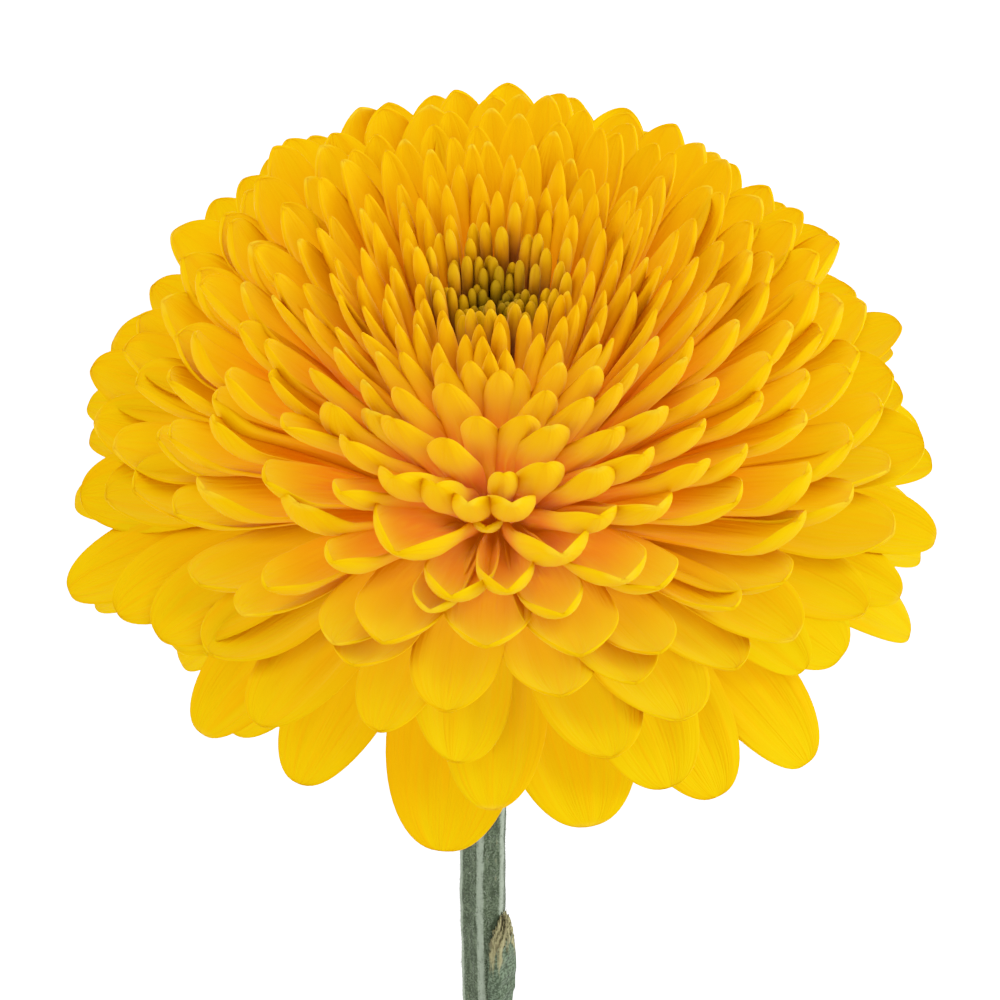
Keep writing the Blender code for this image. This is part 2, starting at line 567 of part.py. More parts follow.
def stem(model, cutters):
    """The ribbed stem, with the torn stub of a leaf and a cut end."""
    outline = bpy.data.curves.new("rib_outline", "CURVE")
    outline.dimensions = "2D"
    ring = outline.splines.new("POLY")
    sides = 4 * STEM_RIBS
    ring.points.add(sides - 1)
    for side in range(sides):
        angle = 2.0 * math.pi * side / sides
        radius = 0.5 * STEM_DIAMETER + RIB_HEIGHT * math.cos(STEM_RIBS * (angle - RIB_TURN))
        ring.points[side].co = (radius * math.cos(angle), radius * math.sin(angle), 0.0, 1.0)
    ring.use_cyclic_u = True
    guide = bpy.data.objects.new("rib_outline", outline)
    cutters.objects.link(guide)
    guide.hide_render = True

    path = bpy.data.curves.new("stem", "CURVE")
    path.dimensions = "3D"
    path.bevel_mode = "OBJECT"
    path.bevel_object = guide
    path.use_fill_caps = True
    line = path.splines.new("POLY")
    line.points.add(STEM_STATIONS - 1)
    for station in range(STEM_STATIONS):
        share = station / (STEM_STATIONS - 1)
        point = stem_path(STEM_TOP - (STEM_TOP + stem_length()) * share)
        line.points[station].co = (*point, 1.0)
        swelling = (SCAR_BELOW - SWELL_ABOVE, SCAR_BELOW + SWELL_UNDER)
        swell = np.interp(-point[2], swelling, [1.0, NODE_SWELLING])
        line.points[station].radius = float(swell)
    tube = bpy.data.objects.new("stem_line", path)
    model.objects.link(tube)
    graph = bpy.context.evaluated_depsgraph_get()
    mesh = bpy.data.meshes.new_from_object(tube.evaluated_get(graph))
    bpy.data.objects.remove(tube)
    made = bpy.data.objects.new("stem", mesh)
    model.objects.link(made)
    body = bmesh.new()
    body.from_mesh(mesh)
    bmesh.ops.remove_doubles(body, verts=body.verts, dist=0.00001)
    bmesh.ops.recalc_face_normals(body, faces=body.faces[:])
    body.to_mesh(mesh)
    body.free()

    stub = bmesh.new()
    bmesh.ops.create_icosphere(stub, subdivisions=2, radius=1.0)
    radius = 0.5 * STEM_DIAMETER
    squash = Matrix.Diagonal((SCAR_DEPTH * radius, SCAR_WIDTH * radius, 0.5 * SCAR_LENGTH, 1.0))
    axis = Matrix.Translation(stem_path(-SCAR_BELOW))
    place = Matrix.Rotation(SCAR_BEARING, 4, "Z") @ Matrix.Translation((radius, 0.0, 0.0))
    bmesh.ops.transform(stub, matrix=axis @ place @ squash, verts=stub.verts)
    stub_mesh = bpy.data.meshes.new("leaf_scar")
    stub.to_mesh(stub_mesh)
    stub.free()
    repeats = new_collection("stem_repeats")
    repeats.objects.link(bpy.data.objects.new("leaf_scar", stub_mesh))
    fuse(made, repeats)
    made.data.materials.clear()
    made.data.materials.append(material("stem_green", (0.20, 0.26, 0.17), 0.75))
    return made


def centre_on_surface(bodies):
    """Shift every body alike so that the middle of their box stands over the origin."""
    corners = np.concatenate([np.array([vertex.co[:] for vertex in body.data.vertices]) for body in bodies])
    middle = 0.5 * (corners.min(0) + corners.max(0))
    shift = Matrix.Translation((-middle[0], -middle[1], 0.0))
    for body in bodies:
        body.data.transform(shift)


def main():
    """Build the chrysanthemum."""
    for old in list(bpy.data.objects):
        bpy.data.objects.remove(old)
    model = new_collection("disbud_chrysanthemum")
    cutters = new_collection("cutters")
    florets = arrange()
    bodies = [ray_florets(florets, model, cutters), heart_florets(florets, model),
              involucre(model), stem(model, cutters)]
    for body in bodies:
        lay_down(body)
    centre_on_surface(bodies)


main()
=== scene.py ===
"""Looks of the disbud chrysanthemum: a large yellow bloom on its cut stem, on a pale surface.

Every surface is worked out in the upright frame of the flower, in millimetres: the florets spread
from a point on the receptacle, +Z runs up the stem's axis to the middle of the bloom, and -Y is
the side that faces up when the flower lies down. Lying.place() turns each piece into the frame's
metres.
"""
import logging
import math
from dataclasses import dataclass, fields
from enum import Enum
from typing import Any, Mapping, Sequence

import bpy
import numpy as np
from mathutils import Matrix, Vector


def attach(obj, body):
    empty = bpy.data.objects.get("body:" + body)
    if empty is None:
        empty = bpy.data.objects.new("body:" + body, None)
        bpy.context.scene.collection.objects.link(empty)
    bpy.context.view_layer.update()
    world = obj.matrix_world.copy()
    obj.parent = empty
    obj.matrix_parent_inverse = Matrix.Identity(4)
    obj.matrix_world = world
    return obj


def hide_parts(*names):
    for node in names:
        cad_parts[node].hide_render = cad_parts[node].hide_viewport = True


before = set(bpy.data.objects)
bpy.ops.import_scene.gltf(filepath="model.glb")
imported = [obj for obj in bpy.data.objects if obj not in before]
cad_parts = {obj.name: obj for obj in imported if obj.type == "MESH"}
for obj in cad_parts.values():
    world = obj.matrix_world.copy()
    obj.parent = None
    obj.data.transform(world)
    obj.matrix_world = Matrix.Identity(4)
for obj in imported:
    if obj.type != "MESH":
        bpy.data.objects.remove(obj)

LOG = logging.getLogger("chrysanthemum")
Array = np.ndarray
Colour = tuple[float, float, float]
Stops = tuple[tuple[float, Colour], ...]
Table = tuple[float, ...]
BODY = "root"
MM = 0.001
UP = np.array([0.0, 0.0, 1.0])


class Node(Enum):
    """The solids of the part that pieces here stand for."""

    RAYS = "ray_florets"
    HEART = "heart_florets"
    INVOLUCRE = "involucre"
    STEM = "stem"


class Slot(Enum):
    """The record's material slots."""

    PETAL = "petal_yellow"
    HEART = "heart_green"
    BRACT = "bract_green"
    STEM = "stem_green"


class Form(Enum):
    """How a floret's strap is shaped."""

    TROUGH = "a strap folded up along its edges"
    FINGER = "a slim round-tipped finger, rolled shut"


def unit(azimuth: Array, elevation: Array | float) -> Array:
    """Unit vectors: cosines of the azimuth and elevation level, sine of the elevation upwards.

    Args:
        azimuth: Angles about +Z in radians.
        elevation: Angles above the level plane in radians.

    Returns:
        The vectors, with the three components last.
    """
    level = np.cos(elevation)
    parts = level * np.cos(azimuth), level * np.sin(azimuth), np.sin(elevation)
    return np.stack(np.broadcast_arrays(*parts), -1)


def out_and_aside(azimuth: Array) -> tuple[Array, Array]:
    """Level unit vectors at azimuths in radians, and those a quarter turn further on."""
    return unit(azimuth, 0.0), unit(azimuth + math.pi / 2.0, 0.0)


def running_sum(steps: Array, axis: int) -> Array:
    """Cumulative sum along an axis that starts at nought, so it is one longer than the steps."""
    start = np.zeros_like(np.take(steps, [0], axis))
    return np.concatenate([start, np.cumsum(steps, axis)], axis)


def crowded(count: int, power: float) -> Array:
    """Places from nought to one: one less a power of an even fall, so they crowd at the end."""
    return 1.0 - (1.0 - np.linspace(0.0, 1.0, count)) ** power


def there_and_back(front: Array, back: Array, axis: int = 0) -> Array:
    """Join two walls into rings: out along the front one and home along the back one."""
    return np.concatenate([front, np.flip(back, axis)], axis)


def hang(name: str, data: bpy.types.ID) -> bpy.types.Object:
    """Put a mesh, lamp or camera into the scene.

    Args:
        name: The object's name.
        data: What it holds.

    Returns:
        The object, at the origin and unturned.
    """
    made = bpy.data.objects.new(name, data)
    bpy.context.scene.collection.objects.link(made)
    return made


@dataclass(frozen=True)
class Lying:
    """How the flower lies: the receptacle's place over the surface and the lean of its axis."""

    receptacle: tuple[float, float, float] = (0.6111, -41.8867, 50.0)
    lean: float = 20.0
    pressed: float = 0.5
    clearance: float = 0.08

    def slant(self) -> tuple[float, float]:
        """The lean's sine and cosine."""
        return math.sin(math.radians(self.lean)), math.cos(math.radians(self.lean))

    def room(self) -> float:
        """How far below the receptacle the lowest points end before they are pressed flat."""
        return self.receptacle[2] + self.pressed

    def axes(self) -> Array:
        """The frame's directions of the flower's X, Y and Z, one in each column."""
        sine, cosine = self.slant()
        return np.array([[-1.0, 0.0, 0.0], [0.0, -sine, -cosine], [0.0, -cosine, sine]])

    def place(self, points: Array) -> Array:
        """Turn the flower's points to lie on the surface; what would sink in is pressed flat.

        Args:
            points: Points in the flower's frame in millimetres.

        Returns:
            Points in the frame in metres.
        """
        placed = points @ self.axes().T + np.array(self.receptacle)
        placed[..., 2] = np.maximum(placed[..., 2], self.clearance)
        return placed * MM


class Wire:
    """A shader socket that takes part in arithmetic, each operation adding its Math node."""

    def __init__(self, tree: "Finish", socket: bpy.types.NodeSocket) -> None:
        """Keep the socket and the tree that it belongs to."""
        self.tree = tree
        self.socket = socket

    def math(self, operation: str, first: Any, second: Any) -> "Wire":
        """The result of a Math node that takes two values or wires."""
        return self.tree.node("ShaderNodeMath", {"operation": operation}, {0: first, 1: second})

    def __add__(self, other: Any) -> "Wire":
        """This plus the other."""
        return self.math("ADD", self, other)

    def __radd__(self, other: Any) -> "Wire":
        """The other plus this."""
        return self.math("ADD", other, self)

    def __sub__(self, other: Any) -> "Wire":
        """This less the other."""
        return self.math("SUBTRACT", self, other)

    def __rsub__(self, other: Any) -> "Wire":
        """The other less this."""
        return self.math("SUBTRACT", other, self)

    def __mul__(self, other: Any) -> "Wire":
        """This times the other."""
        return self.math("MULTIPLY", self, other)

    def __rmul__(self, other: Any) -> "Wire":
        """The other times this."""
        return self.math("MULTIPLY", other, self)

    def __lt__(self, other: Any) -> "Wire":
        """One where this is the smaller, else nought."""
        return self.math("LESS_THAN", self, other)


class Finish:
    """A Principled material whose varying sockets are worked out in its node tree."""

    def __init__(self, name: str, constants: Mapping[str, Any]) -> None:
        """Start the material.

        Args:
            name: The finish's name.
            constants: Values of the shader's sockets that are alike all over.
        """
        self.material = bpy.data.materials.new(name)
        self.material.use_nodes = True
        self.nodes = self.material.node_tree.nodes
        self.links = self.material.node_tree.links
        self.shader = self.nodes["Principled BSDF"]
        for key, value in constants.items():
            self.shader.inputs[key].default_value = value

    def node(self, kind: str, settings: Mapping[str, Any], sockets: Mapping[Any, Any],
             output: int | str = 0) -> Wire:
        """Add a node, with its settings first and then its sockets.

        Args:
            kind: The node's type.
            settings: Its properties, with a ramp's stops under "stops".
            sockets: A value or a wire for each input that isn't left as it is.
            output: The output to go on from.

        Returns:
            That output.
        """
        made = self.nodes.new(kind)
        for key, value in settings.items():
            if key == "stops":
                self.set_stops(made.color_ramp, value)
            else:
                setattr(made, key, value)
        for key, value in sockets.items():
            if isinstance(value, Wire):
                self.links.new(value.socket, made.inputs[key])
            else:
                made.inputs[key].default_value = value
        return Wire(self, made.outputs[output])

    @staticmethod
    def set_stops(ramp: bpy.types.ColorRamp, stops: Stops) -> None:
        """Give a ramp its stops.

        Args:
            ramp: The ramp.
            stops: Positions and colours, in rising order.
        """
        while len(ramp.elements) < len(stops):
            ramp.elements.new(1.0)
        for element, (position, colour) in zip(ramp.elements, stops):
            element.position = position
            element.color = (*colour, 1.0)

    def value(self, name: str) -> Wire:
        """The mesh attribute of that name, which holds one number a point."""
        return self.node("ShaderNodeAttribute", {"attribute_name": name}, {}, "Fac")

    def smooth(self, value: Wire, low: float, high: float) -> Wire:
        """A mask that climbs smoothly from nought at the low value to one at the high value."""
        sockets = {"Value": value, "From Min": low, "From Max": high}
        return self.node("ShaderNodeMapRange", {"interpolation_type": "SMOOTHSTEP"}, sockets)

    def ramp(self, value: Wire, stops: Stops) -> Wire:
        """The colour at the value's place on a ramp."""
        return self.node("ShaderNodeValToRGB", {"stops": stops}, {0: value})

    def coat(self, colour: Any, *coats: tuple[Any, Any]) -> Wire:
        """Lay colours over a colour, one after the other.

        Args:
            colour: The colour or wire underneath.
            coats: For each coat, how far it covers and its colour or wire.

        Returns:
            The colour on top.
        """
        for share, over in coats:
            ends = [end if isinstance(end, Wire) else (*end, 1.0) for end in (colour, over)]
            sockets = {0: share, 6: ends[0], 7: ends[1]}
            colour = self.node("ShaderNodeMix", {"data_type": "RGBA"}, sockets, 2)
        return colour

    def noise(self, place: Wire, stretch: tuple[float, float, float], detail: float) -> Wire:
        """Noise, about one half on average, at a place that is stretched first.

        Args:
            place: The coordinates.
            stretch: Factor on each of them.
            detail: Octaves of the noise.

        Returns:
            The noise.
        """
        sockets = {0: place, 1: stretch}
        moved = self.node("ShaderNodeVectorMath", {"operation": "MULTIPLY"}, sockets)
        sockets = {"Vector": moved, "Scale": 1.0, "Detail": detail}
        return self.node("ShaderNodeTexNoise", {}, sockets)

    def grain(self, across: float, along: float, detail: float) -> Wire:
        """Noise in the UV map, with so many cells a millimetre across and along the piece."""
        place = self.node("ShaderNodeUVMap", {"uv_map": "grain"}, {})
        return self.noise(place, (across, along, 1.0), detail)

    def mottle(self, cells: float, detail: float) -> Wire:
        """Noise in Object coordinates, with so many cells a metre."""
        place = self.node("ShaderNodeTexCoord", {}, {}, "Object")
        return self.noise(place, (cells, cells, cells), detail)

    def feed(self, wires: Mapping[str, Wire]) -> None:
        """Lead wires to the shader's sockets of those names."""
        for key, wire in wires.items():
            self.links.new(wire.socket, self.shader.inputs[key])

    def wear(self, colour: Wire, roughness: Wire, height: Wire,
             relief: float) -> bpy.types.Material:
        """Feed colour, roughness and small relief to the shader.

        Args:
            colour: The base colour.
            roughness: The roughness.
            height: The height of the small relief, from nought to one.
            relief: The relief's full height in millimetres.

        Returns:
            The finished material.
        """
        sockets = {"Strength": 1.0, "Distance": relief * MM, "Height": height}
        normal = self.node("ShaderNodeBump", {}, sockets)
        self.feed({"Base Color": colour, "Roughness": roughness, "Normal": normal})
        return self.material

    def let_light_through(self, colour: Colour, share: float) -> None:
        """Mix in light that passes through the thin wall.

        Args:
            colour: The light's colour after it.
            share: How much of the surface passes light.
        """
        through = self.node("ShaderNodeBsdfTranslucent", {}, {"Color": (*colour, 1.0)})
        sockets = {0: share, 1: Wire(self, self.shader.outputs[0]), 2: through}
        mixed = self.node("ShaderNodeMixShader", {}, sockets)
        self.links.new(mixed.socket, self.nodes["Material Output"].inputs["Surface"])


@dataclass(frozen=True)
class PetalFinish:
    """Golden-yellow petal: thin, satin, finely veined, glowing orange where light passes it.

    The painted glow, an orange emission by height on the bloom, stands for the light that goes on
    from petal to petal and shows deepest orange in the gaps. The hollow sides and the throats
    carry painted shade in deep orange.
    """

    name: str = "golden_petal"
    by_height: Stops = (
        (0.0, (0.67, 0.395, 0.0)), (0.15, (0.67, 0.38, 0.0)), (0.35, (0.76, 0.40, 0.0)),
        (0.50, (0.83, 0.375, 0.0)), (0.62, (0.85, 0.34, 0.0)), (0.74, (0.83, 0.315, 0.0)),
        (0.84, (0.78, 0.29, 0.0)))
    # painted glow: orange emission by height, standing in for light passed on from petal to petal
    scatter: Stops = (
        (0.0, (0.10, 0.02, 0.0)), (0.16, (0.18, 0.04, 0.0)), (0.42, (0.20, 0.045, 0.0)),
        (0.60, (0.04, 0.006, 0.0)))
    # painted shade: deep orange laid on the hollow side of each strap
    hollow: Colour = (0.76, 0.20, 0.0)
    # painted shade: deep red-orange towards each petal's base, where it runs in under others
    throat_shade: Colour = (0.79, 0.095, 0.0)
    vein: Colour = (0.82, 0.26, 0.0)
    nib: Colour = (0.86, 0.45, 0.015)
    glow: Colour = (0.90, 0.34, 0.0)
    see_through: float = 0.4
    dried_tips: float = 0.25
    relief: float = 0.5

    def make(self) -> bpy.types.Material:
        """Work the colour out of the height on the bloom, veins, folds and dried tip, with painted
        shade in the hollow and at the throat and a painted glow.

        Returns:
            The material.
        """
        # the emission is a painted glow; its colour is fed below
        tree = Finish(self.name, {"Specular IOR Level": 0.015, "Emission Strength": 1.0})
        tree.material.cycles.emission_sampling = "NONE"
        along, height = tree.value("along"), tree.value("height")
        veins, folds = tree.grain(2.4, 0.10, 1.0), tree.grain(0.28, 0.035, 0.0)
        # painted glow: the petals give off orange light by height, strongest on the lower and
        # middle rows
        tree.feed({"Emission Color": tree.ramp(height, self.scatter)})
        # painted shade on the hollow side: more further in on the bloom, fading towards the tip
        inside = tree.value("hollow") * (0.18 + tree.smooth(height, 0.14, 0.38) * 0.38)
        inside = inside * (1.0 - 0.75 * tree.smooth(along, 0.70, 0.98))
        # painted shade at the throat: darker towards the petal's base and further in on the bloom
        depth = tree.smooth(along, 1.02, 0.55) * (0.28 + tree.smooth(height, 0.05, 0.50) * 0.72)
        dried = tree.smooth(along + veins * 0.012, 0.990, 1.006)
        dried = dried * (tree.value("chance") < self.dried_tips)
        colour = tree.coat(
            tree.ramp(height, self.by_height), (inside, self.hollow), (depth, self.throat_shade),
            (tree.smooth(veins, 0.46, 0.72) * 0.38, self.vein),
            (tree.smooth(folds, 0.50, 0.75) * 0.30, self.vein), (dried * 0.65, self.nib))
        tree.let_light_through(self.glow, self.see_through)
        rough = 0.46 + folds * 0.16 + dried * 0.2
        return tree.wear(colour, rough, veins * 0.35 + folds * 0.65, self.relief)


@dataclass(frozen=True)
class HeartFinish:
    """Young floret: olive in the middle, golden tips further out, painted maroon shade in gaps."""

    name: str = "young_green_petal"
    body: Stops = (
        (0.84, (0.68, 0.20, 0.0)), (0.89, (0.45, 0.142, 0.0)), (0.94, (0.215, 0.096, 0.001)),
        (1.0, (0.095, 0.062, 0.002)))
    tip: Stops = (
        (0.84, (0.76, 0.28, 0.0)), (0.89, (0.59, 0.232, 0.0)), (0.94, (0.32, 0.156, 0.001)),
        (1.0, (0.155, 0.105, 0.003)))
    # painted shade in maroon, laid low on each floret between its neighbours; also its own streaks
    gap: Colour = (0.17, 0.038, 0.002)
    glow: Colour = (0.62, 0.24, 0.0)
    see_through: float = 0.25
    relief: float = 0.10

    def make(self) -> bpy.types.Material:
        """Work the colour out of the height on the bloom and the place along the floret, with
        painted shade low on each floret.

        Returns:
            The material.
        """
        tree = Finish(self.name, {"Specular IOR Level": 0.025})
        along, height = tree.value("along"), tree.value("height")
        streaks = tree.grain(2.0, 0.25, 1.0)
        colour = tree.coat(
            tree.ramp(height, self.body),
            (tree.smooth(along, 0.90, 0.99), tree.ramp(height, self.tip)),
            # painted shade: maroon on each floret below its tip, down in the gaps
            (tree.smooth(along, 0.93, 0.80), self.gap),
            # the floret's own streaks, in the same maroon
            (tree.smooth(streaks, 0.52, 0.72) * 0.25, self.gap))
        tree.let_light_through(self.glow, self.see_through)
        return tree.wear(colour, 0.42 + streaks * 0.2, streaks, self.relief)


@dataclass(frozen=True)
class BractFinish:
    """Leafy bract: dull green, paler and papery brown at its thin margins."""

    name: str = "papery_edged_bract"
    leaf: Colour = (0.07, 0.115, 0.025)
    pale: Colour = (0.13, 0.18, 0.06)
    margin: Colour = (0.30, 0.24, 0.13)
    relief: float = 0.14

    def make(self) -> bpy.types.Material:
        """Work the colour out of the distance to the margin and the fine veins.

        Returns:
            The material.
        """
        tree = Finish(self.name, {"Specular IOR Level": 0.25})
        veins, spots = tree.grain(2.6, 0.16, 3.0), tree.mottle(420.0, 3.0)
        edge = tree.smooth(tree.value("margin") + spots * 0.2, 0.86, 1.04)
        colour = tree.coat(
            self.leaf, (tree.smooth(veins, 0.42, 0.66), self.pale), (edge, self.margin))
        return tree.wear(colour, 0.58 + spots * 0.25, veins, self.relief)


@dataclass(frozen=True)
class StemFinish:
    """Stem: grey-green between pale ribs, with a white pith and a green rind on the cut."""

    name: str = "downy_stem"
    furrow: Colour = (0.018, 0.027, 0.012)
    fuzz: Colour = (0.052, 0.070, 0.040)
    rib: Colour = (0.16, 0.192, 0.14)
    stain: Colour = (0.19, 0.15, 0.075)
    pith: Colour = (0.42, 0.43, 0.28)
    rind: Colour = (0.20, 0.27, 0.09)
    relief: float = 0.12

    def make(self) -> bpy.types.Material:
        """Work the colour out of the ribs, the streaks along them and the cut.

        Returns:
            The material.
        """
        tree = Finish(self.name, {"Specular IOR Level": 0.15})
        streaks, spots = tree.grain(2.2, 0.3, 2.0), tree.mottle(3200.0, 1.0)
        cut = tree.value("cut")
        ribs = tree.smooth(tree.value("rib") + streaks * 0.16 + spots * 0.10, 0.96, 1.12)
        inside = tree.coat(self.rind, (tree.smooth(cut + spots * 0.12, 0.30, 0.42), self.pith))
        colour = tree.coat(
            self.furrow, (tree.smooth(spots * 0.6 + streaks * 0.4, 0.42, 0.62), self.fuzz),
            (ribs * 0.85, self.rib), (tree.smooth(streaks, 0.66, 0.78) * 0.3, self.stain),
            (tree.smooth(cut, 0.0, 0.08), inside))
        return tree.wear(colour, 0.62 + spots * 0.25, streaks * 0.6 + spots * 0.4, self.relief)


@dataclass(frozen=True)
class ScarFinish:
    """Torn leaf stub: downy green below, tan, fibrous and browned where it is torn off."""

    name: str = "torn_leaf_scar"
    fibre: Colour = (0.17, 0.155, 0.07)
    browned: Colour = (0.085, 0.07, 0.032)
    furrow: Colour = (0.023, 0.035, 0.018)
    fuzz: Colour = (0.065, 0.092, 0.056)
    relief: float = 0.3

    def make(self) -> bpy.types.Material:
        """Work the colour out of coarse and fine fibres and of how far up the stub they lie.

        Returns:
            The material.
        """
        tree = Finish(self.name, {"Specular IOR Level": 0.15})
        fibres, spots = tree.grain(1.8, 0.5, 3.0), tree.mottle(2600.0, 1.0)
        coarse = tree.smooth(fibres * 0.7 + spots * 0.3, 0.36, 0.60)
        colour = tree.coat(
            self.furrow, (tree.smooth(spots, 0.40, 0.64), self.fuzz),
            (tree.smooth(tree.value("torn") + fibres * 0.6, 0.66, 0.84),
             tree.coat(self.browned, (coarse, self.fibre))))
        return tree.wear(colour, 0.7 + spots * 0.2, fibres * 0.6 + spots * 0.4, self.relief)


@dataclass(frozen=True)
class DownFinish:
    """Hair: short, pale and silky."""

    name: str = "pale_down"
    hair: Colour = (0.150, 0.178, 0.128)
    root: Colour = (0.055, 0.075, 0.042)
    relief: float = 0.02

    def make(self) -> bpy.types.Material:
        """Work the colour out of the place along each hair.

        Returns:
            The material.
        """
        tree = Finish(self.name, {"Specular IOR Level": 0.4})
        spots = tree.mottle(700.0, 2.0)
        silky = tree.smooth(tree.value("along") + spots * 0.3, 0.1, 0.7)
        colour = tree.coat(self.root, (silky, self.hair))
        return tree.wear(colour, 0.5 + spots * 0.2, spots, self.relief)


@dataclass(frozen=True)
class TableFinish:
    """Studio surface: matt white."""

    name: str = "studio_white"
    white: Colour = (0.96, 0.96, 0.96)

    def make(self) -> bpy.types.Material:
        """The material, alike all over."""
        return Finish(self.name, {"Base Color": (*self.white, 1.0), "Roughness": 0.9,
                                  "Specular IOR Level": 0.1}).material


@dataclass
class Florets:
    """Arrays over the florets, in millimetres and radians; elevation alone is in degrees."""

    azimuth: Array
    elevation: Array
    reach: Array
    width: Array
    cup: Array
    hook: Array
    hook_start: Array
    arch: Array
    twist: Array
    sway: Array
    lop: Array
    chance: Array
    rank: Array
    by_hand: Array

    def pick(self, mask: Array) -> "Florets":
        """The florets that a mask picks."""
        return Florets(**{item.name: getattr(self, item.name)[mask] for item in fields(self)})


@dataclass(frozen=True)
class BloomPlan:
    """Where each floret ends and how it is shaped, by its elevation above the receptacle's plane.

    The spiral turns by the golden angle from one floret to the next. Florets that show singly at
    the front are given as bearing from the front, elevation, reach, width, half the angle that
    the strap wraps and its tip's inward hook. The part's solids have the same florets. The
    draws vary each floret by the deviations below: strays, arches and twists in degrees, sways in
    millimetres and the others as shares. All but those of width, cup and hook fade towards the
    heart.
    """

    lying: Lying
    elevation: Table = (-12.0, -4.0, 6.0, 16.0, 30.0, 45.0, 55.0, 65.0, 75.0, 83.0, 90.0)
    counts: tuple[int, ...] = (18, 26, 34, 56, 68, 58, 60, 66, 52, 40)
    reach: Table = (54.5, 55.2, 54.8, 53.8, 52.5, 51.0, 48.0, 44.4, 41.6, 35.6, 30.2)
    width: Table = (15.0, 14.2, 13.4, 12.0, 10.0, 7.8, 5.7, 3.5, 2.05, 1.45, 1.1)
    cup: Table = (24.0, 28.0, 34.0, 42.0, 54.0, 66.0, 74.0, 76.0, 90.0, 100.0, 100.0)
    arch: Table = (44.0, 38.0, 32.0, 24.0, 14.0, 8.0, 6.0, 4.0, 2.0, 0.0, 0.0)
    hook: Table = (-6.0, 0.0, 12.0, 30.0, 46.0, 46.0, 26.0, 14.0, 6.0, 0.0, 0.0)
    hook_start: Table = (0.68, 0.68, 0.72, 0.76, 0.79, 0.81, 0.82, 0.82, 0.90, 0.90, 0.90)
    peak: Table = (0.64, 0.66, 0.72, 0.79, 0.84, 0.85, 0.80, 0.76, 0.88, 0.90, 0.90)
    taper: Table = (0.5, 0.5, 0.5, 0.5, 0.5, 0.52, 0.62, 0.75, 0.80, 0.80, 0.80)
    mouth: Table = (0.5, 0.5, 0.6, 0.8, 0.95, 0.9, 0.7, 0.7, 0.7, 0.7, 0.7)
    front: tuple[tuple[float, ...], ...] = (
        (-19, 45, 51.5, 6.5, 95, 40), (-11.5, 45, 50.5, 5, 105, 40), (-5.5, 43, 51, 4.6, 110, 30),
        (3.5, 43, 51, 5.6, 95, 30), (10, 48, 50, 6, 85, 40), (-5.5, 55, 48.5, 4.7, 76, 24),
        (5.3, 55, 48.5, 5.4, 76, 24), (13, 58.5, 47.5, 4.8, 74, 20), (22.5, 56, 48, 5.8, 76, 24),
        (-25, 52.5, 49, 6.5, 78, 30), (-14.5, 59.5, 47.5, 5.8, 72, 20), (-27, 57, 48, 5, 76, 20),
        (1.5, 47, 50, 3.6, 105, 30), (-3, 39, 44, 3.5, 90, 10), (-10, 28.5, 52, 6, 80, 20),
        (1, 62.5, 46.5, 4, 76, 14), (20, 62.5, 46.5, 4, 76, 14), (-9, 64, 46, 3.6, 76, 14),
        (25.5, 50.5, 49.5, 6.4, 78, 34), (29, 46, 51, 7, 80, 40), (-31, 47.5, 50.5, 6.8, 80, 40),
        (-15.5, 35.5, 52.5, 10.5, 90, 22), (-6.8, 31, 53, 8.2, 84, 26), (2, 32, 53, 6.8, 94, 22),
        (10, 36, 52.5, 8.6, 96, 26), (9.5, 28.5, 53.5, 7.8, 80, 28), (19, 31.5, 53.5, 10, 74, 28),
        (17, 40, 52, 7, 80, 36), (28, 39, 52, 8, 74, 36), (-28, 41, 52, 6, 88, 34),
        (-25, 32.5, 53.5, 6.5, 88, 36), (-34, 26, 54, 7, 80, 36), (-15.5, 24, 54, 11, 60, 22),
        (-2, 25, 54, 10.5, 62, 22), (11.5, 23, 54, 12, 58, 20), (-20, 20, 54, 10, 45, 20),
        (-23, 22, 53.5, 9, 50, 20), (22, 21, 54, 9, 45, 25), (19, 18, 54.5, 10, 40, 15),
        (-6, 16, 54.5, 11, 35, 5), (8, 18, 54.5, 11, 40, 20), (-15, 12, 55, 10, 35, 5),
        (-37, 21, 54, 8.5, 45, 20), (34, 23, 54, 8, 60, 25), (-7, -8, 55, 17, 25, 0),
        (0, 1, 55, 13, 30, 0), (11.5, -3, 55.5, 17, 25, 0), (22, 1, 55.5, 15, 28, -5),
        (29.5, -5, 55, 14.5, 25, 0), (43, -7, 56, 14, 25, 0), (-26, -0.5, 55, 13, 28, 0),
        (-31, 7, 55, 12, 30, 0), (-41.5, -1, 54.5, 13, 28, 0), (-50, 10, 54.5, 14, 35, 0),
        (-68, 3, 57, 14, 35, 0), (-57, 8.5, 55.5, 13, 35, 0), (74, 7, 57, 13, 35, 0),
        (62, 7, 56, 12, 35, 0), (55, 10, 55, 13, 35, 5), (42, 15, 55, 12, 45, 10),
        (-157, -10, 57, 14, 24, 0), (157, -10, 57, 14, 24, 0), (-171, -10, 57, 13, 26, 0),
        (171, -10, 57, 13, 26, 0))
    seed: int = 7
    golden_angle: float = math.radians(137.50776)
    stray: float = 2.0
    reach_varies: float = 0.018
    width_varies: float = 0.08
    cup_varies: float = 0.10
    hook_varies: float = 0.3
    arch_varies: float = 4.0
    twist_varies: float = 9.0
    sway_varies: float = 0.9
    lop_varies: float = 0.14
    fade: tuple[Table, Table] = ((60.0, 80.0), (1.0, 0.4))
    by_hand_calm: float = 0.4
    spacing: float = 0.95
    spread_rounds: int = 8
    spread_push: float = 0.35
    lopsided: float = 0.035
    tucked: float = 0.88
    tucked_below: float = 6.0
    tucked_front: float = 0.35
    heart_uneven: float = 0.045
    heart_edge: Table = (70.0, 80.0)
    bowl: float = 0.05
    bowl_from: float = 82.0
    bowl_over: float = 16.0
    lift_limit: float = 60.0
    arch_power: float = 1.2
    hook_power: float = 1.4
    dome_radius: float = 10.5
    dome_height: float = 3.5
    dome_sink: float = 1.0

    def at(self, table: Sequence[float], elevation: Array) -> Array:
        """A table's values at elevations in degrees."""
        return np.interp(elevation, self.elevation, table)

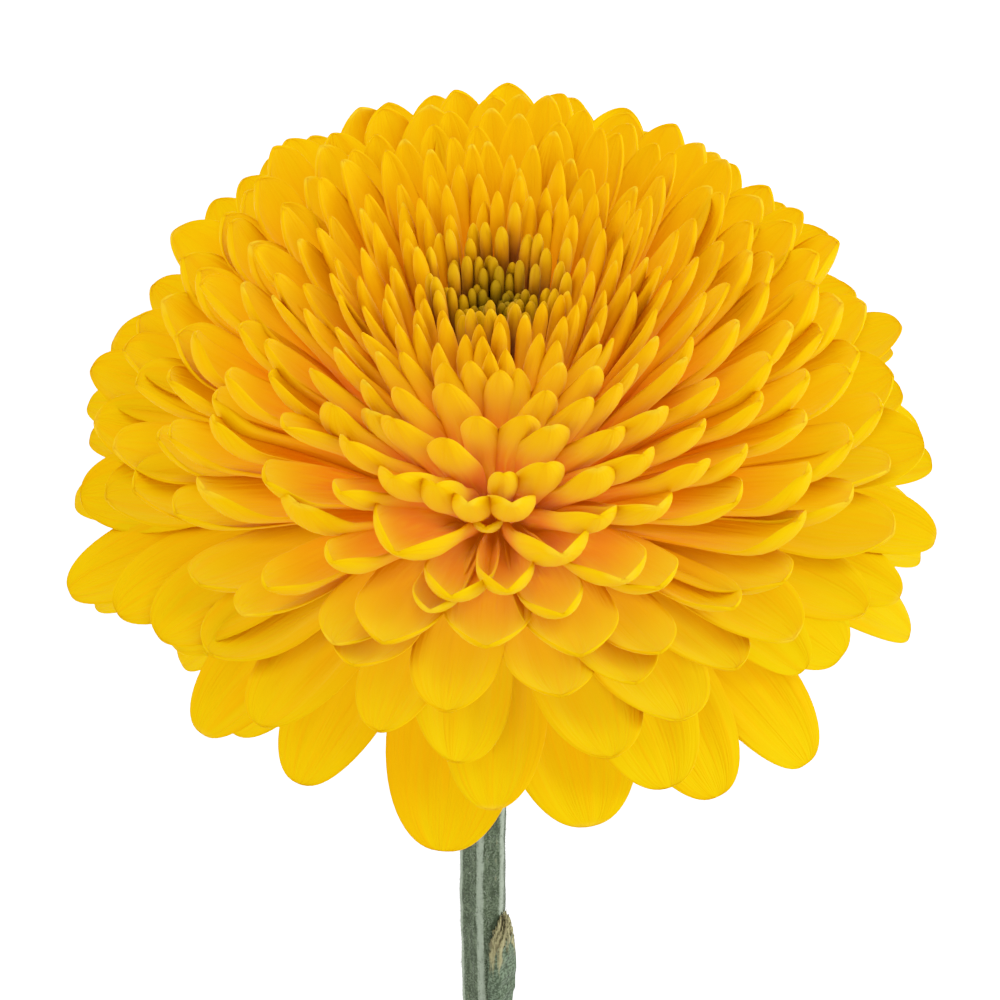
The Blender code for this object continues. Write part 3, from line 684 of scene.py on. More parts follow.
    def spread(self, points: Array, free: Array, wanted: Array) -> Array:
        """Push neighbours apart until each has about its wanted spacing; fixed ones stay.

        Each round adds, over the neighbours that are too near, a share of the missing distance
        along the line between the two.

        Args:
            points: Unit vectors of the florets.
            free: Which of them move.
            wanted: The spacing in radians that each should have.

        Returns:
            The spread unit vectors.
        """
        far_from_itself = np.eye(len(points)) * 9.0
        mean = 0.5 * (wanted[:, None] + wanted[None])
        for _ in range(self.spread_rounds):
            offset = points[:, None] - points[None]
            distance = np.linalg.norm(offset, axis=-1) + far_from_itself
            push = np.clip(mean - distance, 0.0, None) / distance * self.spread_push
            points = np.where(free[:, None], points + (offset * push[..., None]).sum(1), points)
            points = points / np.linalg.norm(points, axis=1)[:, None]
        return points

    def lift(self, elevation: Array, azimuth: Array) -> Array:
        """Raise the florets on the underside so that their tips end at the surface.

        The lowest elevation that clears the surface comes from the height of a tip, which is the
        sine of the elevation times the lean's sine plus its cosine times the lean's cosine. The
        florets between it and the limit are squeezed together evenly.

        Args:
            elevation: Elevations in degrees.
            azimuth: Azimuths in radians.

        Returns:
            The elevations in degrees.
        """
        sine, cosine = self.lying.slant()
        across = cosine * -np.sin(azimuth)
        drop = np.clip(self.lying.room() / max(self.reach) / np.hypot(sine, across), 0.0, 1.0)
        lowest = np.degrees(-np.arcsin(drop) - np.arctan2(across, sine))
        floor = self.elevation[0]
        lowest = np.where((drop < 1.0) & (across < 0.0), np.maximum(lowest, floor), floor)
        squeeze = (self.lift_limit - lowest) / (self.lift_limit - floor)
        raised = self.lift_limit - (self.lift_limit - elevation) * squeeze
        return np.where(elevation < self.lift_limit, raised, elevation)

    def arrange(self) -> Florets:
        """Lay out the spiral, put the front florets where they belong and spread the rest.

        The bloom is a little shorter on its -X side, and the spiral's own florets under the skirt
        in front are tucked in, so that the listed ones make its outline. In the heart the reach
        varies with the sine of the floret's number squared. A strap that wraps a half turn or more
        starts to hook sooner, which makes a bowl of its end.

        Returns:
            The florets.
        """
        draw = np.random.default_rng(self.seed)
        steps = np.concatenate([[0], np.cumsum(self.counts)])
        total = int(steps[-1])
        number = np.arange(total) + 0.5
        nominal = np.interp(number, steps, self.elevation)

        def jitter(deviation: float) -> Array:
            """Seeded normal draws, cut off at two deviations."""
            return draw.normal(0.0, deviation, total).clip(-2.0 * deviation, 2.0 * deviation)

        fade = np.interp(nominal, *self.fade)
        points = unit(number * self.golden_angle + np.radians(jitter(self.stray)) * fade,
                      np.radians(nominal + jitter(self.stray) * fade))
        chosen = np.array(self.front)
        owner = np.full(total, -1)
        targets = unit(np.radians(chosen[:, 0] - 90.0), np.radians(chosen[:, 1]))
        for index, target in enumerate(targets):
            nearest = np.where(owner < 0, points @ target, -2.0).argmax()
            owner[nearest] = index
            points[nearest] = target
        by_hand = owner >= 0
        knots = np.array(self.elevation)
        room = np.diff(np.sin(np.radians(knots))) * 2.0 * math.pi / np.array(self.counts)
        wanted = np.sqrt(np.interp(nominal, 0.5 * (knots[1:] + knots[:-1]), room))
        points = self.spread(points, ~by_hand, self.spacing * wanted)
        azimuth = np.arctan2(points[:, 1], points[:, 0])
        elevation = self.lift(np.degrees(np.arcsin(points[:, 2])), azimuth)
        reach = self.at(self.reach, elevation) * (1.0 + jitter(self.reach_varies) * fade)
        reach = reach * (1.0 - self.lopsided * np.clip(-np.cos(azimuth), 0.0, 1.0))
        low = (elevation < self.tucked_below) & (np.sin(azimuth) < -self.tucked_front)
        reach = np.where(low, self.tucked, 1.0) * reach
        uneven = self.heart_uneven * np.interp(elevation, self.heart_edge, (0.0, 1.0))
        reach = reach * (1.0 + uneven * np.sin(number * number))
        width = self.at(self.width, elevation) * (1.0 + jitter(self.width_varies))
        cup = self.at(self.cup, elevation) * (1.0 + jitter(self.cup_varies))
        hook = self.at(self.hook, elevation) * (1.0 + jitter(self.hook_varies))
        arch = self.at(self.arch, elevation) + jitter(self.arch_varies) * fade
        reach, width, cup, hook = (
            np.where(by_hand, chosen[owner, column], values)
            for column, values in enumerate((reach, width, cup, hook), 2))
        bowl = self.bowl * np.clip((cup - self.bowl_from) / self.bowl_over, 0.0, 1.0)
        calm = np.where(by_hand, self.by_hand_calm, 1.0) * fade
        sine, cosine = self.lying.slant()
        level = np.radians(elevation)
        share = np.sin(level) * sine - np.cos(level) * cosine * np.sin(azimuth)
        longest = self.lying.room() / np.maximum(-share, 0.01)
        rank = np.empty(total)
        rank[np.argsort(elevation, kind="stable")] = number / total
        return Florets(
            azimuth=azimuth, elevation=elevation, reach=np.minimum(reach, longest), width=width,
            cup=np.radians(cup), hook=np.radians(hook),
            hook_start=self.at(self.hook_start, elevation) - bowl, arch=np.radians(arch),
            twist=np.radians(jitter(self.twist_varies)) * calm,
            sway=jitter(self.sway_varies) * calm, lop=jitter(self.lop_varies) * calm,
            chance=draw.random(total), rank=rank, by_hand=by_hand)

    def midribs(self, florets: Florets, along: Array) -> tuple[tuple[Array, Array, Array], Array]:
        """Follow each midrib from the dome to its tip.

        The midrib's slope falls with the arch, as a power of the place along it, and rises with
        the hook, as a power of the place past the hook's start. The curve is summed up from the
        slope, as complex numbers of the distance from the axis and the height, and multiplied by
        the one that turns and scales it so that it runs from the root to the tip.

        Args:
            florets: The florets.
            along: Places along the midrib from nought to one.

        Returns:
            Points, sideways directions and inward directions, floret by place, and the lengths.
        """
        tip = florets.reach * np.exp(1j * np.radians(florets.elevation))
        root = self.dome_radius * np.sqrt(1.0 - florets.rank) - 1j * self.dome_sink
        root = root + 1j * self.dome_height * florets.rank
        start = florets.hook_start[:, None]
        past = np.clip((along - start) / (1.0 - start), 0.0, 1.0)
        turn = florets.hook[:, None] * past ** self.hook_power
        turn = turn - florets.arch[:, None] * along ** self.arch_power
        path = running_sum(np.exp(0.5j * (turn[:, 1:] + turn[:, :-1])) * np.diff(along), 1)
        fit = ((tip - root) / path[:, -1])[:, None]
        path = (root[:, None] + path * fit)[..., None]
        slope = (turn + np.angle(fit))[..., None]
        outward, sideways = (way[:, None] for way in out_and_aside(florets.azimuth))
        inward = np.cos(slope) * UP - np.sin(slope) * outward
        roll = (florets.twist[:, None] * along)[..., None]
        sway = (florets.sway[:, None] * along ** 2)[..., None]
        centre = path.real * outward + path.imag * UP + sideways * sway
        lateral = sideways * np.cos(roll) + inward * np.sin(roll)
        return (centre, lateral, inward * np.cos(roll) - sideways * np.sin(roll)), abs(tip - root)


def carry(rib: tuple[Array, Array, Array], side: Array, rise: Array) -> Array:
    """Carry sections along midribs: a side of so much sideways and a rise of so much inwards."""
    centre, sideways, inward = (part[:, :, None] for part in rib)
    return centre + sideways * side[..., None] + inward * rise[..., None]


@dataclass
class Skin:
    """Closed tubes of rings: their points, and for each its UV place and its named values.

    A UV place or a value that is alike along an axis of the points is held once for it.
    """

    points: Array
    across: Array
    along: Array
    values: dict[str, Array]

    def faces(self) -> Array:
        """Quads round and along each tube, and quads across its two ends.

        A ring has an even number of points. The end's quads join each point of the first half of
        the ring to its partner in the second half.

        Returns:
            The corners of each quad.
        """
        tubes, rings, around = self.points.shape[:3]
        here = np.arange(rings - 1)[:, None] * around
        place = np.arange(around)
        after = (place + 1) % around
        side = np.stack([here + place, here + after, here + around + after,
                         here + around + place], -1).reshape(-1, 4)
        near = np.arange(around // 2 - 1)
        far = around - 1 - near
        first = np.stack([near, far, far - 1, near + 1], -1)
        quads = np.concatenate([side, first, (rings - 1) * around + first[:, ::-1]])
        return (quads + (np.arange(tubes) * rings * around)[:, None, None]).reshape(-1, 4)

    def install(self, name: str, lying: Lying, finish: bpy.types.Material, node: Node,
                slot: Slot) -> None:
        """Make a piece whose faces point outwards, in place of one of the part's solids.

        Args:
            name: The piece's name.
            lying: How the flower lies.
            finish: The piece's material.
            node: The solid that the piece stands for.
            slot: The record's slot of its finish; not used.
        """
        points = lying.place(self.points).reshape(-1, 3)
        quads = self.faces()
        corner = points[quads]
        across = np.cross(corner[:, 2] - corner[:, 0], corner[:, 3] - corner[:, 1])
        if (across * corner.mean(1)).sum() < 0.0:
            quads = quads[:, ::-1]
        mesh = bpy.data.meshes.new(name)
        mesh.from_pydata(points.tolist(), [], quads.tolist())
        mesh.shade_smooth()
        shape = self.points.shape[:3]
        places = [np.broadcast_to(place, shape) for place in (self.across, self.along)]
        places = np.stack(places, -1)
        places = places.reshape(-1, 2)[quads.ravel()].astype(np.float32)
        mesh.uv_layers.new(name="grain").data.foreach_set("uv", places.ravel())
        for key, value in self.values.items():
            held = mesh.attributes.new(key, "FLOAT", "POINT")
            held.data.foreach_set("value", np.broadcast_to(value, shape).astype(np.float32).ravel())
        mesh.materials.append(finish)
        made = hang(name, mesh)
        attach(made, BODY)
        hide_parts(node.value)
        LOG.info("%s: %d faces", made.name, len(mesh.polygons))


@dataclass(frozen=True)
class FloretRow:
    """The florets of one zone of the bloom, in one piece.

    Sizes are in millimetres and shares of the floret; low and high are elevations in degrees. The
    wrap, wall and rod tables are factors on a strap's cup up to its mouth, on a strap's thickness
    and on a finger's radius, by the place along it. The blunt, pointed and flat tables shape the
    fingers by elevation. The shifts part one floret's grain and waves from the next one's.
    """

    name: str
    low: float
    high: float
    form: Form
    rings: int = 18
    columns: int = 9
    thickness: float = 0.55
    crease: float = 0.0
    ruffle: float = 0.0
    rolled_rim: float = 0.22
    # share of the painted shade on the hollow side, for florets outside the front list
    open_hollow_shade: float = 0.2
    root_width: float = 0.22
    tip_width: float = 0.08
    wrap: tuple[Table, Table] = ((0.0, 0.35, 0.72), (2.2, 1.25, 1.0))
    flattest: float = 0.05
    most_wrapped: float = math.radians(150.0)
    wall: tuple[Table, Table] = ((0.0, 0.1, 0.9, 1.0), (1.0, 1.0, 0.95, 0.6))
    thinner_rim: float = 0.75
    rod: tuple[Table, Table] = ((0.0, 0.5, 0.85, 1.0), (0.5, 0.75, 1.0, 1.0))
    blunt: tuple[Table, Table] = ((60.0, 72.0, 80.0, 90.0), (6.5, 5.0, 2.8, 1.9))
    pointed: tuple[Table, Table] = ((60.0, 72.0, 80.0, 90.0), (0.85, 0.78, 0.58, 0.50))
    flat: tuple[Table, Table] = ((60.0, 78.0), (0.55, 0.92))
    grain_shift: float = 97.0
    wave_shift: float = 40.0

    def build(self, plan: BloomPlan, florets: Florets, finish: bpy.types.Material, node: Node,
              slot: Slot) -> None:
        """Make and install the row's piece.

        Args:
            plan: The bloom's plan.
            florets: All its florets.
            finish: The row's material.
            node: The solid that the row stands for.
            slot: The record's slot.
        """
        mine = florets.pick((florets.elevation >= self.low) & (florets.elevation < self.high))
        make = self.troughs if self.form is Form.TROUGH else self.fingers
        make(plan, mine).install(self.name, plan.lying, finish, node, slot)

    def skin(self, points: Array, florets: Florets, along: Array, across: Array, hollow: Array,
             length: Array) -> Skin:
        """Give a row's points their UV places in millimetres and their values.

        Args:
            points: The row's points, floret by ring by place on the ring.
            florets: The row's florets.
            along: Share of the length at each ring.
            across: Share of the half width at each place on the ring.
            hollow: Where painted shade lies: one on the hollow side and nought outside,
            at each place. Open hollows get less than the deep florets listed at the front.
            length: The florets' lengths.

        Returns:
            The skin.
        """
        along = along[None, :, None]
        chance, half, length, elevation, shaded = (value[:, None, None] for value in (
            florets.chance, florets.width * 0.5, length, florets.elevation,
            np.where(florets.by_hand, 1.0, self.open_hollow_shade)))
        # painted shade on the hollow side: full on the listed front florets, less on the others
        values = {"height": elevation / 90.0, "along": along, "hollow": hollow * shaded,
                  "chance": chance}
        shift = chance * self.grain_shift
        return Skin(points, across * half + shift, along * length + shift, values)

    def troughs(self, plan: BloomPlan, florets: Florets) -> Skin:
        """Straps with rolled rims and rounded tips.

        The half width climbs to its peak as a sine to the power 1.4 and falls to the tip as one
        less the 2.1th power of the way from the peak, to the power of the plan's taper. Across the
        strap the slope is the cup's angle times (v - roll v^5), summed up over v from rim to rim
        and scaled to the half width. A crease adds cosines of three half turns, a ruffle adds
        sines that grow with v squared. Each wall stands half the thickness to either side.

        Args:
            plan: The bloom's plan.
            florets: The row's florets.

        Returns:
            The skin.
        """
        along = crowded(self.rings, 2.1)
        across = np.linspace(-1.0, 1.0, self.columns)
        across = 0.5 * (across + np.sin(across * math.pi / 2.0))
        rib, length = plan.midribs(florets, along)
        peak, taper, mouth = (plan.at(table, florets.elevation)[:, None]
                              for table in (plan.peak, plan.taper, plan.mouth))
        climb = np.sin(np.clip(along / peak, 0.0, 1.0) * math.pi / 2.0) ** 1.4
        past = np.clip((along - peak) / (1.0 - peak), 0.0, 1.0)
        fall = np.clip(1.0 - past ** 2.1, 0.0, 1.0) ** taper
        half = 0.5 * florets.width[:, None] * (self.root_width + (1.0 - self.root_width) * climb)
        half = (half * (self.tip_width + (1.0 - self.tip_width) * fall))[..., None]
        end = self.wrap[0][-1]
        wrap = np.interp(along, *self.wrap)
        wrap = wrap + (mouth - 1.0) * np.clip((along - end) / (1.0 - end), 0.0, 1.0)
        cup = np.clip(florets.cup[:, None] * wrap, self.flattest, self.most_wrapped)[..., None]
        slope = cup * (across - self.rolled_rim * across ** 5)
        slope = slope * (1.0 + florets.lop[:, None, None] * across)
        middle = 0.5 * (slope[..., 1:] + slope[..., :-1])
        side, rise = (running_sum(wave(middle) * np.diff(across), 2) for wave in (np.cos, np.sin))
        spine = self.columns // 2
        side, rise = (line - line[..., spine:spine + 1] for line in (side, rise))
        scale = half / np.abs(side).max(-1, keepdims=True)
        swell = np.sin(math.pi * np.clip(along * 1.15 - 0.15, 0.0, 1.0))[:, None] * half
        phase = florets.chance[:, None, None] * self.wave_shift
        folds = self.crease * np.cos(3.0 * math.pi * across)
        waves = np.sin(9.0 * along[:, None] + phase + 2.0 * across) * self.ruffle * across ** 2
        side, rise = side * scale, rise * scale + swell * (folds + waves)
        wall = 0.5 * self.thickness * (1.0 - self.thinner_rim * across ** 6)
        wall = wall * np.interp(along, *self.wall)[:, None]
        points = there_and_back(
            *(carry(rib, side - half_wall * np.sin(slope), rise + half_wall * np.cos(slope))
              for half_wall in (wall, -wall)), 2)
        ring = there_and_back(across, across)
        # the hollow side, where painted shade lies
        hollow = there_and_back(np.ones(self.columns), np.zeros(self.columns))
        return self.skin(points, florets, along, ring, hollow, length)

    def fingers(self, plan: BloomPlan, florets: Florets) -> Skin:
        """Rods with rounded ends.

        Over the last stretch before the tip the radius is the half width times one less the square
        of the way out, to a power, and it narrows to half at the root. The section is flatter
        further out on the bloom.

        Args:
            plan: The bloom's plan.
            florets: The row's florets.

        Returns:
            The skin.
        """
        along = crowded(self.rings, 2.6)
        rib, length = plan.midribs(florets, along)
        radius = 0.5 * florets.width[:, None]
        blunt, pointed, flat = (np.interp(florets.elevation, *table)[:, None]
                                for table in (self.blunt, self.pointed, self.flat))
        back = np.clip((1.0 - along) * length[:, None] / (radius * blunt), 0.0, 1.0)
        radius = radius * (0.05 + 0.95 * (1.0 - (1.0 - back) ** 2) ** pointed)
        radius = (radius * np.interp(along, *self.rod))[..., None]
        turn = np.linspace(0.0, 2.0 * math.pi, self.columns, endpoint=False)
        turn = turn + math.pi / self.columns
        points = carry(rib, radius * np.cos(turn), radius * np.sin(turn) * flat[..., None])
        # painted shade weight, rising towards the finger's inner side
        return self.skin(points, florets, along, np.cos(turn), 0.5 + 0.5 * np.sin(turn), length)


@dataclass(frozen=True)
class Bloom:
    """The bloom's florets: yellow rows from the skirt inwards, and the young green heart."""

    plan: BloomPlan
    rows: tuple[FloretRow, ...] = (
        FloretRow("skirt_florets", -90.0, 8.0, Form.TROUGH, 26, 15, 0.55, 0.085, 0.05, 0.10),
        FloretRow("spoon_florets", 8.0, 28.0, Form.TROUGH, 25, 13, 0.70, 0.05, 0.03, 0.08),
        FloretRow("trough_florets", 28.0, 46.0, Form.TROUGH, 25, 17, 0.80, 0.02, 0.02, 0.04),
        FloretRow("hooded_florets", 46.0, 66.0, Form.TROUGH, 22, 13, 0.70, 0.0, 0.0, 0.06),
        FloretRow("slim_florets", 66.0, 76.0, Form.FINGER, 16, 10))
    heart: FloretRow = FloretRow("heart_fingers", 76.0, 91.0, Form.FINGER, 14, 8)

    def build(self) -> None:
        """Make and install every row."""
        florets, petal = self.plan.arrange(), PetalFinish().make()
        for row in self.rows:
            row.build(self.plan, florets, petal, Node.RAYS, Slot.PETAL)
        self.heart.build(self.plan, florets, HeartFinish().make(), Node.HEART, Slot.HEART)


@dataclass(frozen=True)
class Involucre:
    """The receptacle's green cup and its bracts, in millimetres.

    Each row of bracts has its height, its lean from the axis in degrees and its bracts' length. The
    keel is how far a bract's sides fold back, as a share of the distance from its middle.
    """

    plan: BloomPlan
    top: float = -1.5
    depth: float = 13.0
    radius: float = 11.0
    neck: float = 2.85
    ridges: int = 22
    bract_rows: tuple[tuple[float, float, float], ...] = (
        (-9.4, 50.0, 8.0), (-6.6, 66.0, 10.0), (-4.4, 80.0, 12.0))
    bracts_a_row: int = 11
    bract_width: float = 4.6
    widest_at: float = 0.55
    keel: float = 0.28
    foot_sink: float = 0.6
    thickness: float = 0.45

    def cup_radius(self, height: Array) -> Array:
        """The cup's radius at a height: a quarter sine from the neck to the rim."""
        share = np.clip((height - self.top + self.depth) / self.depth, 0.0, 1.0)
        return self.neck + (self.radius - self.neck) * np.sin(share * math.pi / 2.0)

    def receptacle(self) -> Skin:
        """The cup and the dome that the florets grow from, as one turned body.

        The radius follows the cup's quarter sine up to the rim, then the dome's parabola to the
        pole, with a ripple of a hundredth at the ridges.

        Returns:
            The skin.
        """
        plan = self.plan
        cup_height = self.top - self.depth * (1.0 - np.linspace(0.0, 1.0, 16))
        pole = np.linspace(0.0, 1.0, 8)[1:]
        dome_radius = plan.dome_radius * np.sqrt(np.clip(1.0 - pole, 1e-5, 1.0))
        radius = np.concatenate([[0.02], self.cup_radius(cup_height), dome_radius])[:, None]
        height = np.concatenate([[self.top - self.depth], cup_height,
                                 plan.dome_height * pole - plan.dome_sink])[:, None]
        turn = np.linspace(0.0, 2.0 * math.pi, 2 * self.ridges, endpoint=False)
        ripple = 1.0 + 0.01 * np.cos(self.ridges * turn)
        points = unit(turn, 0.0) * (radius * ripple)[..., None] + UP * height[..., None]
        return Skin(points[None], turn * 8.0, height, {"margin": np.zeros(1)})

    def bracts(self) -> Skin:
        """Pointed keeled bracts that overlap row above row.

        A bract's half width climbs as a sine to its widest place and narrows to the tip as a
        cosine. Its lean grows with the square of the way along, and its two sides fold back from
        the keel. Each row is turned a little from the one before.

        Returns:
            The skin.
        """
        along, across = np.linspace(0.0, 1.0, 12), np.linspace(-1.0, 1.0, 7)
        rows = len(self.bract_rows)
        row, place = (grid.ravel() for grid in np.mgrid[0:rows, 0:self.bracts_a_row])
        height, lean, length = np.array(self.bract_rows)[row].T[..., None, None, None]
        azimuth = 2.0 * math.pi * (place + 0.5 * (row % 2) + 0.17 * row) / self.bracts_a_row
        out, side = (way[:, None, None] for way in out_and_aside(azimuth))
        lean = np.radians(lean) * (0.86 + 0.16 * along ** 2)[:, None, None]
        heading = out * np.sin(lean) + UP * np.cos(lean)
        face = np.cross(np.broadcast_to(side, heading.shape), heading)
        path = running_sum(0.5 * (heading[:, 1:] + heading[:, :-1]) * length * along[1], 1)
        foot = out * (self.cup_radius(height) - self.foot_sink) + UP * height
        wide = self.widest_at
        profile = np.where(
            along < wide, 0.60 + 0.40 * np.sin(along / wide * math.pi / 2.0),
            np.cos(np.clip((along - wide) / (1.0 - wide), 0.0, 1.0) * math.pi / 2.0 * 0.96))
        half = 0.5 * self.bract_width * profile[:, None, None]
        sheet = foot + path + side * half * across[:, None]
        sheet = sheet - face * half * self.keel * np.abs(across)[:, None]
        wall = face * (0.5 * self.thickness * (1.0 - 0.6 * across ** 4))[:, None]
        ring, along = there_and_back(across, across), along[:, None]
        return Skin(
            there_and_back(sheet + wall, sheet - wall, 2),
            ring * 2.3 + azimuth[:, None, None] * 13.0, along * 10.0 + row[:, None, None] * 31.0,
            {"margin": np.maximum(np.abs(ring), along ** 6)})

    def build(self) -> None:
        """Make and install the receptacle and its bracts."""
        finish = BractFinish().make()
        for name, skin in (("receptacle", self.receptacle()), ("bracts", self.bracts())):
            skin.install(name, self.plan.lying, finish, Node.INVOLUCRE, Slot.BRACT)


@dataclass(frozen=True)
class Stem:
    """The ribbed stem, its down, the torn stub of a leaf and its cut end, in millimetres."""

    lying: Lying
    radius: float = 3.12
    top: float = -14.8
    bow: float = 2.0
    ribs: int = 6
    rib_turn: float = math.radians(23.0)
    rib_height: float = 0.17
    swelling: float = 0.05
    swelling_over: float = 8.0
    seat: float = 1.03
    rings: int = 90
    around: int = 48
    closing: Table = (0.97, 0.8, 0.6, 0.4, 0.2, 0.01)
    dish: float = 0.25
    scar_below: float = 92.5
    scar_bearing: float = math.radians(-38.0)
    scar_length: float = 22.0
    hair_seed: int = 11
    hairs: int = 5200
    hair_length: float = 0.45
    hair_width: float = 0.065
    hair_root: float = 0.05
    hair_margin: float = 0.4

    def length(self) -> float:
        """How far below the receptacle the stem is cut, so that the cut touches the surface."""
        sine, cosine = self.lying.slant()
        return (self.lying.room() - self.seat * self.radius * cosine) / sine

    def axis(self, height: Array) -> Array:
        """Points on the stem's axis at heights, bowed sideways as half a sine."""
        share = (self.top - height) / (self.top + self.length())
        return np.stack([-self.bow * np.sin(share * math.pi), 0.0 * height, height], -1)

    def rib(self, turn: Array) -> Array:
        """How near a rib's crest an angle about the axis is: the size of a cosine."""
        return np.abs(np.cos(0.5 * self.ribs * (turn - self.rib_turn)))

    def girth(self, turn: Array, height: Array) -> Array:
        """The radius: ribs as cosines, a fine waver, and a swelling on the side under the leaf.

        Args:
            turn: Angles about the axis.
            height: Heights in the flower's frame.

        Returns:
            The radii.
        """
        below = np.clip((-height - self.scar_below + 5.0) / self.swelling_over, 0.0, 1.0)
        facing = 0.5 + 0.5 * np.cos(turn - self.scar_bearing)
        swell = 1.0 + 2.0 * self.swelling * facing ** 2 * below * below * (3.0 - 2.0 * below)
        waver = 0.05 * np.sin(0.31 * height + 2.0 * turn)
        waver = waver + 0.04 * np.sin(0.83 * height - 3.0 * turn)
        return self.radius * swell + self.rib_height * (self.rib(turn) ** 1.6 * 2.0 - 1.0) + waver

    def tube(self) -> Skin:
        """The stem's skin with its cut end.

        Rings follow the axis down to the cut, then shrink on it to the middle, where a shallow
        dish shows the pith.

        Returns:
            The skin.
        """
        turn = np.linspace(0.0, 2.0 * math.pi, self.around, endpoint=False)
        closing = np.array(self.closing)
        bottom = -self.length()
        height = np.concatenate([[self.top], np.linspace(self.top, bottom, self.rings),
                                 bottom + self.dish * (1.0 - closing)])
        shrink = np.concatenate([closing[-1:], np.ones(self.rings), closing])[:, None]
        cut = np.concatenate([np.zeros(self.rings + 1), 1.0 - closing])[:, None]
        radius = self.girth(turn, height[:, None]) * shrink
        points = self.axis(height)[:, None] + unit(turn, 0.0) * radius[..., None]
        values = {"rib": self.rib(turn), "cut": cut}
        return Skin(points[None], turn * self.radius, height[:, None], values)

    def down(self) -> Skin:
        """Short pale hairs that stand off the skin and lean down it.

        Each hair is a four-sided spike from a seeded random place: its root lies on the skin, and
        its tip stands out by its length with a random lean.

        Returns:
            The skin.
        """
        draw = np.random.default_rng(self.hair_seed)
        turn = draw.uniform(0.0, 2.0 * math.pi, self.hairs)
        low, high = -self.length() + self.hair_margin, self.top - self.hair_margin
        height = draw.uniform(low, high, self.hairs)
        out, side = out_and_aside(turn)
        root = self.axis(height) + out * (self.girth(turn, height) - self.hair_root)[:, None]
        lean = draw.normal(0.0, 0.5, (self.hairs, 2))
        heading = out + side * lean[:, :1] + UP * (lean[:, 1:] - 0.3)
        tip = root + heading * (self.hair_length * draw.uniform(0.5, 1.3, self.hairs))[:, None]
        square = np.array([[1.0, 0.0], [0.0, 1.0], [-1.0, 0.0], [0.0, -1.0]])
        spoke = (side[:, None] * square[:, :1] + UP * square[:, 1:]) * self.hair_width
        rings = np.stack([root[:, None] + spoke * 0.5, tip[:, None] + spoke * 0.08], 1)
        return Skin(rings, np.zeros(1), np.zeros(1), {"along": np.array([[0.0], [1.0]])})

    def stub(self) -> Skin:
        """The torn stub of a leaf stalk, which runs down into the stem.

        A long egg on the stem's side, roughened by sines of its two angles and torn off square
        towards the outside, more raggedly so near its top. It counts as torn by the cosine of its
        polar angle, and a little more at its sides.

        Returns:
            The skin.
        """
        polar = np.linspace(0.02, math.pi - 0.02, 44)[:, None]
        turn = np.linspace(0.0, 2.0 * math.pi, self.around, endpoint=False)
        rough = 1.0 + 0.07 * np.sin(5.0 * turn + 3.0 * polar) * np.sin(4.0 * polar)
        ragged = np.clip(1.3 * np.cos(polar) - 0.1, 0.0, 1.0)
        tears = 0.09 * np.sin(11.0 * turn + 19.0 * polar) + 0.05 * np.sin(47.0 * polar)
        rough = rough + ragged * tears
        torn_off = 0.66 + 0.10 * np.sin(17.0 * polar)
        depth = np.minimum(np.sin(polar) * np.cos(turn) * rough, torn_off)
        torn = 0.17 + 0.46 * np.cos(polar) + 0.14 * np.abs(np.sin(turn)) * np.sin(polar)
        out, side = out_and_aside(np.array(self.scar_bearing))
        middle = self.axis(np.array(-self.scar_below)) + out * self.radius
        points = (middle + out * (depth * 0.57 * self.radius)[..., None]
                  + side * (np.sin(polar) * np.sin(turn) * rough * 0.80 * self.radius)[..., None]
                  + UP * (np.cos(polar) * rough * 0.5 * self.scar_length)[..., None])
        return Skin(points[None], turn * 2.0, polar * 3.0, {"torn": torn})

    def build(self) -> None:
        """Make and install the stem's pieces."""
        for name, skin, finish in (("stem_skin", self.tube(), StemFinish()),
                                   ("leaf_stub", self.stub(), ScarFinish()),
                                   ("stem_down", self.down(), DownFinish())):
            skin.install(name, self.lying, finish.make(), Node.STEM, Slot.STEM)


